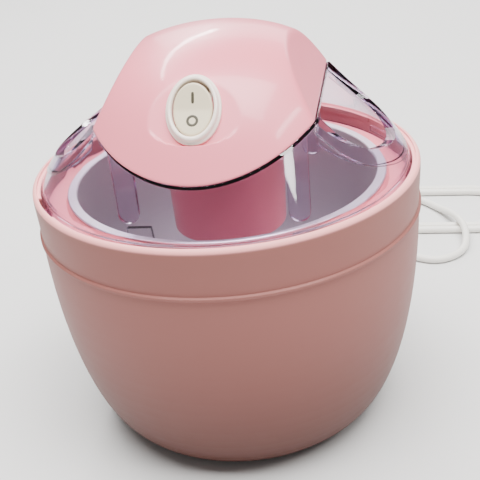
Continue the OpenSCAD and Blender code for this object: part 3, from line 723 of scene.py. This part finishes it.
# The casing's base pink is partly its own darker pink and partly painted shade; its foot colour is painted
# shade and its lip colour a painted highlight.
CASING_PINK = PaintedLightTub("casing_pink", srgb(151, 96, 90), srgb(143, 88, 82), 0.52, coat=0.05, coat_roughness=0.12,
                  grain=0.15, specular=0.22, foot=srgb(90, 56, 50), lip=srgb(250, 168, 166),
                  painted_highlight_from=CASING_TOP - 2.6, painted_highlight_to=CASING_TOP - 1.2)
BOWL_PINK = Moulded("bowl_pink", srgb(214, 124, 124), srgb(206, 114, 114), 0.34, grain=0.12)
IVORY = Moulded("ivory", srgb(224, 212, 184), srgb(214, 200, 170), 0.35, grain=0.12, edge=0.4)
PALE_IVORY = Moulded("pale_ivory", srgb(250, 236, 226), srgb(244, 226, 214), 0.3, grain=0.12, coat=0.3)
MARK = Moulded("switch_mark", srgb(66, 62, 46), srgb(54, 50, 38), 0.5, grain=0.2, edge=0.05)
CORD_WHITE = Moulded("cord_white", srgb(236, 234, 228), srgb(226, 223, 214), 0.38, grain=0.25,
                     grain_scale=1800.0)
WHITE = Moulded("white_plastic", srgb(232, 231, 226), srgb(220, 218, 210), 0.4)
ACETAL = Moulded("gear_plastic", srgb(238, 233, 210), srgb(228, 220, 190), 0.35, subsurface=0.2)
RUBBER = Moulded("rubber", srgb(34, 32, 31), srgb(46, 42, 40), 0.75, grain=0.5, grain_scale=900.0)
SEAL = Moulded("seal", srgb(224, 222, 214), srgb(212, 208, 198), 0.55, subsurface=0.2)
GEL = Moulded("gel", srgb(150, 186, 214), srgb(176, 206, 226), 0.3, subsurface=0.4, grain=0.6,
              grain_scale=400.0)
FERRITE = Moulded("magnet", srgb(52, 51, 54), srgb(66, 64, 66), 0.6, grain=0.5, grain_scale=1500.0)
WIRE_BROWN = Moulded("wire_brown", srgb(98, 58, 34), srgb(84, 48, 28), 0.4, edge=0.05)
WIRE_BLUE = Moulded("wire_blue", srgb(40, 84, 160), srgb(32, 72, 144), 0.4, edge=0.05)
FLOOR = Moulded("floor", srgb(218, 218, 218), srgb(214, 214, 214), 0.9, edge=0.0, wave=0.0, grain=0.0)
CLEAR_LID = Clear("clear_plastic", (0.97, 0.93, 0.97), (0.60, 0.42, 0.74), 115.0)
CLEAR_PADDLE = Clear("clear_paddle", (0.97, 0.96, 0.97), (0.80, 0.74, 0.80), 30.0, roughness=0.12)
ALUMINIUM = Metal("aluminium", (0.82, 0.80, 0.82), 0.42)
STEEL = Metal("steel", (0.62, 0.62, 0.64), 0.25)
BRASS = Metal("brass", (0.80, 0.58, 0.26), 0.25)
COPPER = Wound("copper", (0.78, 0.36, 0.18))

CAD_FINISHES: dict[Finish, tuple[str, ...]] = {
    CASING_PINK: ("outer_casing",),
    COVER_PINK: ("motor_cover", "motor_pod"),
    BOWL_PINK: ("bowl_shell",),
    ALUMINIUM: ("bowl_liner",),
    CLEAR_LID: ("clear_lid",),
    CLEAR_PADDLE: ("paddle",),
    PALE_IVORY: ("switch_body",),
    IVORY: ("switch_rocker",),
    RUBBER: ("rubber_feet",),
    SEAL: ("bowl_seal",),
    GEL: ("coolant_gel",),
    WHITE: ("fill_plug", "gearbox_cup", "coil_bobbin"),
    ACETAL: ("first_gear", "second_gear", "output_gear"),
    STEEL: ("cover_screws", "motor_screws", "gear_pins", "gear_plate", "motor_can", "pole_cage",
            "rotor_shaft", "output_shaft", "plug_pins"),
    BRASS: ("switch_terminals", "rotor_pinion", "output_bush"),
    COPPER: ("coil_winding",),
    FERRITE: ("rotor_magnet",),
    WIRE_BROWN: ("live_wire", "switched_wire"),
    WIRE_BLUE: ("neutral_wire",),
    CORD_WHITE: ("cord_gland", "cord_lead", "cord_hank", "cord_tail", "plug_body"),
}


# ------------------------------------------------------------------------------------------------------------
# Camera, lights and floor
# ------------------------------------------------------------------------------------------------------------


@dataclass(frozen=True)
class SoftBox:
    """A rectangular light that faces the object; lengths in metres, power in watts.

    Its length runs along the given direction, made square to its line to the object.
    """

    name: str
    at: tuple[float, float, float]
    size: tuple[float, float]
    power: float
    along: tuple[float, float, float] = (1.0, 0.0, 0.0)
    colour: Colour = (1.0, 0.985, 0.965)

    def hang(self, aim: Vector) -> None:
        """Make the light and turn it to its aim."""
        data = bpy.data.lights.new(self.name, "AREA")
        data.shape, data.energy, data.color = "RECTANGLE", self.power, self.colour
        data.size, data.size_y = self.size
        back = (Vector(self.at) - aim).normalized()
        across = Vector(self.along) - back * back.dot(Vector(self.along))
        link(self.name, data).matrix_world = turn_to(across, back.cross(across), self.at)


@dataclass
class Studio:
    """The camera, soft lights and pale floor round the object.

    A broad light hangs above, one behind and a long thin one on each side. The sky gives little light but
    looks pale.
    """

    camera_at: tuple[float, float, float] = (81.3, -401.0, 304.5)
    look: tuple[float, float, float] = (-0.1689, 0.8700, -0.4633)
    right: tuple[float, float, float] = (0.9856, 0.1445, -0.0880)
    lens: float = 66.7
    sensor: float = 36.0
    clip: tuple[float, float] = (0.01, 50.0)
    aim: tuple[float, float, float] = (0.0, 0.0, 0.12)
    lights: tuple[SoftBox, ...] = (
        SoftBox("top", (0.19, -0.28, 2.55), (2.5, 1.5), 218.0),
        SoftBox("behind", (0.1, 1.8, 0.85), (1.8, 0.7), 14.0),
        SoftBox("left_strip", (-0.55, 0.97, 1.15), (1.57, 0.04), 15.0, along=(0.25, 0.87, -0.41)),
        SoftBox("right_strip", (0.85, -0.22, 0.95), (0.55, 0.05), 3.6, along=(-0.15, -0.52, 0.0)),
    )
    sky: Colour = (1.0, 0.99, 0.98)
    sky_light: float = 0.25
    sky_seen: float = 1.35
    floor_radius: float = 1.4
    floor_corners: int = 128

    def make_camera(self) -> None:
        """Place the camera from its position, its line of sight and its right-hand direction."""
        data = bpy.data.cameras.new("camera")
        data.lens, data.sensor_width = self.lens, self.sensor
        data.clip_start, data.clip_end = self.clip
        look, right = Vector(self.look).normalized(), Vector(self.right).normalized()
        up = right.cross(look).normalized()
        camera = link("camera", data)
        camera.matrix_world = axes(look.cross(up), up, -look, Vector(self.camera_at) * MM)
        bpy.context.scene.camera = camera

    def make_lights(self) -> None:
        """Fill the sky and hang the lights."""
        world = bpy.data.worlds.new("studio")
        bpy.context.scene.world = world
        world.use_nodes = True
        world.node_tree.nodes.clear()
        graph = Graph(world.node_tree)
        dim, pale = (graph.add("Background", {"Color": opaque(self.sky), "Strength": strength})[0]
                     for strength in (self.sky_light, self.sky_seen))
        seen = graph.add("LightPath")["Is Camera Ray"]
        graph.add("OutputWorld", {"Surface": graph.add("MixShader", {0: seen, 1: dim, 2: pale})[0]})
        for light in self.lights:
            light.hang(Vector(self.aim))

    def make_floor(self) -> None:
        """Lay a round pale matt floor under the object, with a faint drift of tone."""
        x, y = around(self.floor_radius, turn(self.floor_corners))
        mesh = bpy.data.meshes.new("floor")
        mesh.from_pydata(xyz(x, y, 0.0).tolist(), [], [tuple(range(self.floor_corners))])
        floor = link("floor", mesh)
        FLOOR.put_on(floor)


# ------------------------------------------------------------------------------------------------------------
# Mains cord, strain relief and plug
# ------------------------------------------------------------------------------------------------------------


@dataclass
class MainsCord:
    """White two-core cord from the back of the motor unit, through flat turns beside it, to its plug."""

    diameter: float = 5.0
    sides: int = 16
    aside: tuple[float, float, float] = (1.0, 0.15, 0.9)
    lead: tuple = (
        (0, 98, 172), (0, 112, 170), (1, 128, 158), (2, 140, 136), (2, 147, 100), (1, 152, 62), (-2, 160, 30),
        (-5, 172, 12), (-7, 188, 4.4), (-5, 206, 2.9), (4, 226, 2.7), (22, 241, 2.7), (45, 248, 2.7),
        (70, 248, 2.7),
    )
    tail: tuple = (
        (70, 236, 2.7), (88, 235, 2.7), (104, 227, 2.8), (117, 211, 3.6), (125, 195, 6.8), (130, 180, 8.2),
        (132, 166, 6.5), (130, 151, 3.6), (122, 140, 2.8), (110, 135, 2.7), (97, 139, 2.8), (84, 149, 4.2),
        (70, 156, 7),
    )
    hank_left: tuple[float, float] = (70.0, 212.0)
    hank_right: tuple[float, float] = (140.0, 212.0)
    hank_radii: tuple[float, ...] = (36.0, 33.0, 30.0, 27.0, 24.0)
    rest_z: float = 2.7
    free_steps: int = 4
    strand_steps: int = 4
    turn_steps: int = 12

    def strand(self, start: tuple[float, float], end: tuple[float, float], offset: float) -> np.ndarray:
        """Straight strand beside the line between two centres, its end left out."""
        x = np.linspace(start[0], end[0], self.strand_steps + 1)[:-1]
        return xyz(x, start[1] + offset, self.rest_z)

    def half_turn(self, centre: tuple[float, float], start: float, first: float, last: float) -> np.ndarray:
        """Half a clockwise turn whose radius shrinks evenly with the angle.

        Args:
            centre: Middle of the turn.
            start: Angle that it starts from, in degrees.
            first: Radius at the start.
            last: Radius at the end.

        Returns:
            Points of the half turn, its end left out.
        """
        t = np.arange(self.turn_steps) / self.turn_steps
        x, y = around(first + (last - first) * t, np.radians(start - 180 * t))
        return xyz(centre[0] + x, centre[1] + y, self.rest_z)

    def path(self) -> np.ndarray:
        """Centre line of the whole cord: free lead, two flat turns of the hank, and the tail to the plug."""
        stretches = [smooth_path(self.lead, self.free_steps)[:-1]]
        for k, (first, last) in enumerate(zip(self.hank_radii, self.hank_radii[1:])):
            side, angle = (-1, 270) if k % 2 else (1, 90)
            here, there = (self.hank_left, self.hank_right)[::side]
            stretches += [self.strand(here, there, side * first), self.half_turn(there, angle, first, last)]
        return np.concatenate([*stretches, smooth_path(self.tail, self.free_steps)])

    def build(self, with_pieces: Sequence[bpy.types.Object]) -> None:
        """Make the cord.

        Args:
            with_pieces: Pieces on the cord, such as its plug; not used.
        """
        path = self.path()
        tube = swept_tube(path, self.diameter / 2, self.sides, self.aside)
        piece = make_object("mains_cord", [tube], sharp=60)
        seat(piece, Body.MOTOR_UNIT, CORD_WHITE, ("cord_lead", "cord_hank", "cord_tail"))


@dataclass
class StrainRelief:
    """Tapered sleeve with ribs that holds the cord where it leaves the motor unit."""

    inner_y: float = 51.0
    wall_y: float = 72.0
    tip_y: float = 98.0
    z: float = 172.0
    collar: tuple[float, float] = (6.0, 3.0)
    neck: float = 4.0
    rib: float = 3.98
    taper: float = 0.75
    groove: float = 0.5
    rib_outline: tuple = ((0.0, 0.0, 0.3), (0.62, 0.0, 0.3), (0.7, 1.0, 0.2), (0.95, 1.0, 0.2))
    tip: float = 3.1
    rib_count: int = 6
    plain: float = 2.0

    def build(self) -> None:
        """Turn the sleeve's half outline: a collar inside the wall, a neck, then ribs on a taper.

        A rib's outline gives shares of the pitch, shares of the groove's depth, and corner radii.
        """
        wall, end = self.wall_y - self.inner_y, self.tip_y - self.inner_y
        pitch = (end - wall - 2 * self.plain) / self.rib_count
        (wide, thick), neck = self.collar, self.neck
        outline = [(0, 0, 0), (wide, 0, 0.4), (wide, thick, 0.4), (neck, thick, 0), (neck, wall + 1, 0.4)]
        for k in range(self.rib_count):
            y = wall + self.plain + k * pitch
            r = self.rib - self.taper * k / self.rib_count
            outline += [(r - depth * self.groove, y + share * pitch, corner)
                        for share, depth, corner in self.rib_outline]
        outline += [(self.tip, end, 0.3), (0, end, 0)]
        place = turn_to((1, 0, 0), (0, 0, -1), (0, self.inner_y, self.z))
        piece = make_object("strain_relief", [lathe(rounded(outline), 40).placed(place)])
        seat(piece, Body.MOTOR_UNIT, CORD_WHITE, ("cord_gland",))


@dataclass
class MainsPlug:
    """Flat two-pin plug with a tapered relief, finger grips and sleeved round pins."""

    at: tuple[float, float, float] = (70.0, 156.0, 7.0)
    relief: float = 22.0
    relief_radii: tuple[float, float] = (2.9, 4.9)
    wave_height: float = 0.22
    wave_pace: float = 2.2
    wave_from: float = 3.0
    wave_short: float = 2.0
    length: float = 26.0
    half_width: float = 13.0
    half_height: float = 6.8
    shoulder: float = 0.46
    squareness: float = 2.2
    grip: float = 0.21
    grip_pace: float = 60.0
    grip_span: tuple[float, float] = (0.5, 0.85)
    end_round: float = 0.05
    end_drop: float = 0.08
    pin_gap: float = 19.0
    pin_radius: float = 2.0
    pin_sunk: float = 0.6
    sleeve_share: float = 0.93
    sleeve_ends: tuple[float, float] = (9.0, 8.6)
    pin_length: float = 19.0

    def frame(self) -> Matrix:
        """Local frame whose Z axis runs from the cord to the pins."""
        return turn_to((0, -1, 0), (0, 0, 1), self.at)

    def build_body(self) -> bpy.types.Object:
        """Loft rounded outlines from the round relief to the flat body.

        The relief widens evenly under a fine wave. The body's half sizes grow from it over the shoulder by an
        eased share, lose a cosine wave at the grips, and draw in along a quarter circle at the end.

        Returns:
            The plug's moulding.
        """
        relief_rows, body_rows = (np.linspace(start, end, count) for start, end, count in
                                  ((0, self.relief, 34), (0.4, self.length, 60)))
        s = np.concatenate([relief_rows, self.relief + body_rows])
        along = np.clip((s - self.relief) / self.length, 0, 1)
        waved = (s > self.wave_from) & (s < self.relief - self.wave_short)
        thin, thick = self.relief_radii
        relief = thin + (thick - thin) * np.clip(s / self.relief, 0, 1)
        relief = relief + self.wave_height * np.sin(s * self.wave_pace) * waved
        grow = smoothstep(along / self.shoulder)
        end = 1 - self.end_drop * (1 - quarter_round((along - 1 + self.end_round) / self.end_round))
        gripped = (along > self.grip_span[0]) & (along < self.grip_span[1])
        grip = self.grip * np.abs(np.cos(along * self.grip_pace)) * gripped
        half_x = (relief + (self.half_width - relief) * grow) * end - grip
        half_y = (relief + (self.half_height - relief) * grow) * end
        z, power = (np.pad(v, 1, mode="edge") for v in (s, 2 + self.squareness * grow))
        rows = np.stack([np.pad(half_x, 1), np.pad(half_y, 1), z, power], axis=-1)
        piece = make_object("plug_moulding", [stacked_outlines(rows, 72).placed(self.frame())])
        seat(piece, Body.MOTOR_UNIT, CORD_WHITE, ("plug_body",))
        return piece

    def build_pins(self) -> bpy.types.Object:
        """Turn two pins with rounded tips, each a little thinner behind its tip."""
        r, sleeve = self.pin_radius, self.pin_radius * self.sleeve_share
        base = self.relief + self.length - self.pin_sunk
        tip = self.relief + self.length + self.pin_length
        step_from, step_to = (tip - end for end in self.sleeve_ends)
        outline = rounded([(0, base, 0), (sleeve, base, 0), (sleeve, step_from, 0.2), (r, step_to, 0.2),
                           (r, tip, 1.2), (0, tip, 0)])
        pins = [lathe(outline, 32).placed(self.frame() @ Matrix.Translation((x, 0, 0)))
                for x in (-self.pin_gap / 2, self.pin_gap / 2)]
        piece = make_object("plug_contacts", pins)
        seat(piece, Body.MOTOR_UNIT, STEEL, ("plug_pins",))
        return piece


# ------------------------------------------------------------------------------------------------------------
# Motor unit
# ------------------------------------------------------------------------------------------------------------


def smooth_low(a: np.ndarray, b: np.ndarray, blend: float) -> np.ndarray:
    """Lower of two heights, rounded where they cross.

    With h = 0.5 + (b - a) / (2 blend), held between 0 and 1, the result is b + (a - b) h - blend h (1 - h).

    Args:
        a: First heights.
        b: Second heights.
        blend: Difference in height over which the two merge.

    Returns:
        The blended heights.
    """
    h = np.clip(0.5 + 0.5 * (b - a) / blend, 0, 1)
    return b + (a - b) * h - blend * h * (1 - h)


@dataclass
class MotorCover:
    """Bridge-shaped upper shell: a dome cut by two leaning sides, a flat dish and an arched underside."""

    low: tuple[float, float] = (76.5, 155.5)
    handle_a: tuple[float, float] = (59.5, 184.0)
    handle_b: tuple[float, float] = (46.0, 202.4)
    top: float = 202.4
    outline_points: int = 400
    skirt_slope: float = 1.68
    half: float = 49.5
    lean: float = 0.55
    side_width: float = 1.14
    corner_z: float = 171.0
    arc_radius: float = 90.0
    arc_half: float = 89.0
    arc_centre: float = 246.3
    wall: float = 2.2
    crease: float = 2.0
    dish_edge: float = 0.3
    dish_half: tuple[float, float] = (20.7, 16.9)
    dish_lip: float = 1.3
    dish_at: tuple[float, float] = (-54.8, 181.6)
    dish_tip: float = 48.0
    search: tuple[float, float] = (20.0, 88.0)
    halvings: int = 40
    columns: int = 420
    rows_outside: int = 140
    crowding: float = 0.9
    last_row: float = 0.988
    foot_width: float = 0.7
    foot_steps: int = 6
    hole_rows: tuple = ((0.0, 0.0, -9.0, 2), (7.6, 11.6, -9.0, 12), (7.6, 11.6, 4.0, 12), (0.0, 0.0, 4.0, 2))

    def switch_frame(self) -> Matrix:
        """Frame of the switch, in millimetres: X across, Y up the slope, Z out of the dish."""
        return Matrix.Translation((0, *self.dish_at)) @ Matrix.Rotation(math.radians(self.dish_tip), 4, "X")

    def dome_height(self, r: np.ndarray, inset: float) -> np.ndarray:
        """Height of the dome at a radius, moved inwards.

        The half outline is the cubic with the class's end points and handles. Its points are moved along
        their normals, and the height is read off between them. Beyond its lower end it falls at a steady
        slope.

        Args:
            r: Radii.
            inset: How far the dome is moved inwards.

        Returns:
            Heights.
        """
        t = np.linspace(0, 1, self.outline_points)[:, None]
        p, q, s, e = (np.array(v, float) for v in (self.low, self.handle_a, self.handle_b, (0, self.top)))
        line = p * (1 - t) ** 3 + 3 * q * (1 - t) ** 2 * t + 3 * s * (1 - t) * t**2 + e * t**3
        slope = np.gradient(line, axis=0)
        slope /= np.linalg.norm(slope, axis=1)[:, None]
        line = line - inset * np.stack([slope[:, 1], -slope[:, 0]], axis=-1)
        line = line[np.argsort(line[:, 0])]
        edge_r, edge_z = line[-1]
        skirt = edge_z - (r - edge_r) * self.skirt_slope
        return np.where(r > edge_r, skirt, np.interp(r, line[:, 0], line[:, 1]))

    def height(self, x: np.ndarray, y: np.ndarray, inset: float = 0.0) -> np.ndarray:
        """Height of the shell's surface over a point.

        The lower of the dome and the two leaning sides, with a rounded crossing. Inside the dish's oval the
        dish's plane cuts it too, and over the width of the lip the cut surface rises smoothly into the uncut
        one.

        Args:
            x: Places across.
            y: Places front to back.
            inset: How far the surface is moved inwards.

        Returns:
            Heights.
        """
        dome = self.dome_height(np.hypot(x, y), inset)
        side = self.corner_z + (self.half - self.side_width * inset - np.abs(x)) / self.lean
        tip = math.radians(self.dish_tip)
        dish = self.dish_at[1] + (y - self.dish_at[0]) * math.tan(tip) - inset / math.cos(tip)
        plain = smooth_low(dome, side, self.crease)
        sunk = smooth_low(plain, dish, self.dish_edge)
        up_slope = (y - self.dish_at[0]) / math.cos(tip)
        oval = np.hypot(x / self.dish_half[0], up_slope / self.dish_half[1])
        return sunk + (plain - sunk) * smoothstep((oval - 1) * self.dish_half[1] / self.dish_lip)

    def under(self, x: np.ndarray) -> np.ndarray:
        """Height of the arched underside: a circle about an axis along Y."""
        return self.arc_centre - np.sqrt(self.arc_radius**2 - np.minimum(np.abs(x), self.arc_half) ** 2)

    def reach(self, a: np.ndarray, inset: float) -> np.ndarray:
        """Radius at which the surface meets the underside, for each angle, found by halving the interval.

        Args:
            a: Angles round the axis.
            inset: How far the surface is moved inwards.

        Returns:
            Radii.
        """
        near, beyond = (np.full_like(a, r) for r in self.search)
        for _ in range(self.halvings):
            r = (near + beyond) / 2
            x, y = around(r, a)
            above = self.height(x, y, inset) > self.under(x)
            near, beyond = np.where(above, r, near), np.where(above, beyond, r)
        return near

    def rows(self, a: np.ndarray, share: np.ndarray, inset: float) -> np.ndarray:
        """Points of the surface at shares of the reach for every angle."""
        x, y = around(share[:, None] * self.reach(a, inset)[None], a)
        return xyz(x, y, self.height(x, y, inset))

    def on_underside(self, r: np.ndarray, a: np.ndarray) -> np.ndarray:
        """Points of the underside at a radius for every angle."""
        x, y = around(r, a)
        return xyz(x, y, self.under(x))

    def build(self) -> None:
        """Skin the outside, a rounded lower edge, the rim and the inside, then cut the switch's hole."""
        a = turn(self.columns)
        share = np.sin(np.linspace(0, 1, self.rows_outside) * np.pi / 2) ** self.crowding
        outside = self.rows(a, share * self.last_row, 0.0)
        inside = self.rows(a, share[::3], self.wall)[::-1]
        outer, inner = self.reach(a, 0.0), self.reach(a, self.wall)
        t = np.linspace(0, 1, self.foot_steps + 1)[1:, None, None]
        foot = self.on_underside(outer - self.foot_width, a)
        bend = quadratic(outside[-1], self.on_underside(outer, a), foot, t)
        rim = self.on_underside(inner, a)[None]
        piece = make_object("cover_shell", [skin(np.concatenate([outside, bend, rim, inside]))], sharp=35)
        cut(piece, stacked_outlines(self.hole_rows).placed(self.switch_frame()))
        seat(piece, Body.MOTOR_UNIT, COVER_PINK, ("motor_cover",))


@dataclass
class RockerSwitch:
    """Oval bezel with its barrel, and the marked rocker that tilts in it."""

    place: Matrix
    bezel: tuple[float, float] = (12.0, 16.0)
    mouth: tuple[float, float] = (9.0, 12.4)
    bezel_profile: tuple = (
        (0.0, 0.0, 0.0), (0.0, 1.3, 0.5), (0.32, 1.7, 0.4), (0.42, 3.6, 0.9), (0.9, 3.6, 0.6),
        (1.0, 2.4, 0.5), (1.0, 0.0, 0.0),
    )
    barrel_rows: tuple = (
        (0.0, 0.0, -13.8, 2), (6.3, 10.3, -13.8, 12), (6.3, 10.3, 0.0, 12), (7.5, 11.5, 0.0, 12),
        (7.5, 11.5, -15.0, 12), (0.0, 0.0, -15.0, 2),
    )
    pivot_z: float = -2.0
    pivot_bore: tuple[float, float] = (1.15, 20.0)
    pin: tuple[float, float] = (1.1, 7.3)
    rocker: tuple[float, float] = (8.5, 11.5)
    tilt: float = 7.0
    plate_z: float = 1.6
    end_z: float = 3.5
    valley_z: float = 2.3
    valley_round: tuple[float, float] = (0.6, 0.4)
    rim_from: float = 0.9
    rim_drop: float = 0.9
    rim_least: float = 0.02
    keel_rows: tuple = (
        (0.0, 0.0, -5.0, 2), (6.0, 2.9, -5.0, 14), (6.0, 5.0, -3.0, 14), (6.0, 8.9, 1.8, 14),
        (0.0, 0.0, 1.8, 2),
    )
    ring: tuple[float, float] = (2.0, 0.58)
    ring_y: float = -4.8
    bar: tuple[float, float] = (0.62, 2.4)
    bar_y: float = 5.0
    bar_rows: tuple = ((0.0, 1.0), (0.5, 1.0), (0.85, 0.9), (1.0, 0.4), (1.0, -1.0), (0.0, -1.0))
    bar_power: float = 5.0
    mark_height: float = 0.1
    columns: int = 96

    def pivot(self) -> Matrix:
        """Frame at the pivot whose Z axis runs along it."""
        return Matrix.Translation((0, 0, self.pivot_z)) @ Matrix.Rotation(math.pi / 2, 4, "Y")

    def build_body(self) -> None:
        """Carry the bezel's profile between its outer and inner oval, and add the open barrel behind it."""
        profile = rounded(self.bezel_profile, closed=True)
        share, z = profile[:, :1], profile[:, 1:]
        half_x, half_y = (outer + share * (inner - outer) for outer, inner in zip(self.bezel, self.mouth))
        a = turn(self.columns)
        ring = skin(xyz(half_x * np.cos(a), half_y * np.sin(a), z), wrap_rows=True)
        case = make_object("barrel", [stacked_outlines(self.barrel_rows).placed(self.place)])
        cut(case, rod(*self.pivot_bore).placed(self.place @ self.pivot()))
        piece = make_object("switch_bezel", [ring.placed(self.place)])
        work = bmesh.new()
        work.from_mesh(piece.data)
        work.from_mesh(case.data)
        work.to_mesh(piece.data)
        work.free()
        bpy.data.objects.remove(case)
        seat(piece, Body.MOTOR_UNIT, PALE_IVORY, ("switch_body",))

    def tilted(self) -> Matrix:
        """Frame of the rocker at rest, turned about its pivot."""
        pivot = Matrix.Translation((0, 0, self.pivot_z))
        return self.place @ pivot @ Matrix.Rotation(math.radians(self.tilt), 4, "X") @ pivot.inverted()

    def top_height(self, y: np.ndarray) -> np.ndarray:
        """Height of the rocker's top: two slopes from the valley, its corner rounded by a square root."""
        slope = (self.end_z - self.valley_z) / self.rocker[1]
        spread, sink = self.valley_round
        return self.valley_z + slope * (np.sqrt(y**2 + spread) - sink)

    def build_rocker(self) -> None:
        """Skin the plate from the middle of its top over a rounded edge to its bottom; add keel and pin."""
        start, a = self.rim_from, turn(self.columns)[None]
        rim = start + (1 - start) * np.sin(np.linspace(0.1, 1, 8) * np.pi / 2)
        share = np.concatenate([np.linspace(0, start, 16), rim])[:, None]
        x, y = self.rocker[0] * share * np.cos(a), self.rocker[1] * share * np.sin(a)
        drop = self.rim_drop * (1 - quarter_round((share - start) / (1 - start)))
        top = xyz(x, y, np.maximum(self.top_height(y) - drop, self.plate_z + self.rim_least))
        edge = xyz(x[-1:], y[-1:], self.plate_z)
        middle = xyz(0 * a, 0 * a, self.plate_z)
        plate = skin(np.concatenate([top, edge, middle]))
        keel = stacked_outlines(self.keel_rows)
        pin = rod(*self.pin).placed(self.pivot())
        piece = make_object("rocker_cap", [s.placed(self.tilted()) for s in (plate, keel, pin)], sharp=50)
        seat(piece, Body.ROCKER, IVORY, ("switch_rocker",))

    def build_marks(self) -> None:
        """Lay a bar above the valley and a ring below it, each a thin swelling on the rocker's top.

        The bar's rows give a share of its outline and a share of the marks' height.
        """
        section = turn(12)[:, None]
        radius, half = self.ring
        x, y = around(radius + half * np.cos(section), turn(72))
        y = y + self.ring_y
        ring = skin(xyz(x, y, self.top_height(y) + self.mark_height * np.sin(section)), wrap_rows=True)
        share, lift = np.array(self.bar_rows).T[:, :, None]
        flat = superellipse([1.0], [1.0], [self.bar_power], 48)[0]
        x, y = self.bar[0] * share * flat[:, 0], self.bar[1] * share * flat[:, 1] + self.bar_y
        bar = skin(xyz(x, y, self.top_height(y) + self.mark_height * lift))
        piece = make_object("switch_marks", [s.placed(self.tilted()) for s in (ring, bar)])
        seat(piece, Body.ROCKER, MARK)


# ------------------------------------------------------------------------------------------------------------
# The whole object
# ------------------------------------------------------------------------------------------------------------


def dress_frame() -> None:
    """Give every CAD node its finish."""
    for finish, names in CAD_FINISHES.items():
        for name in names:
            finish.put_on(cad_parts[name])
        LOG.info("%s on %s", finish.name, ", ".join(names))


def main() -> None:
    """Build the camera, the cord, the motor unit, the finishes, the lights and the floor, in that order."""
    logging.basicConfig(level=logging.INFO, format="%(name)s: %(message)s")
    studio = Studio()
    studio.make_camera()
    StrainRelief().build()
    plug = MainsPlug()
    MainsCord().build([plug.build_body(), plug.build_pins()])
    cover = MotorCover()
    cover.build()
    switch = RockerSwitch(cover.switch_frame())
    switch.build_body()
    switch.build_rocker()
    switch.build_marks()
    dress_frame()
    studio.make_lights()
    studio.make_floor()


if __name__ == "__main__":
    main()
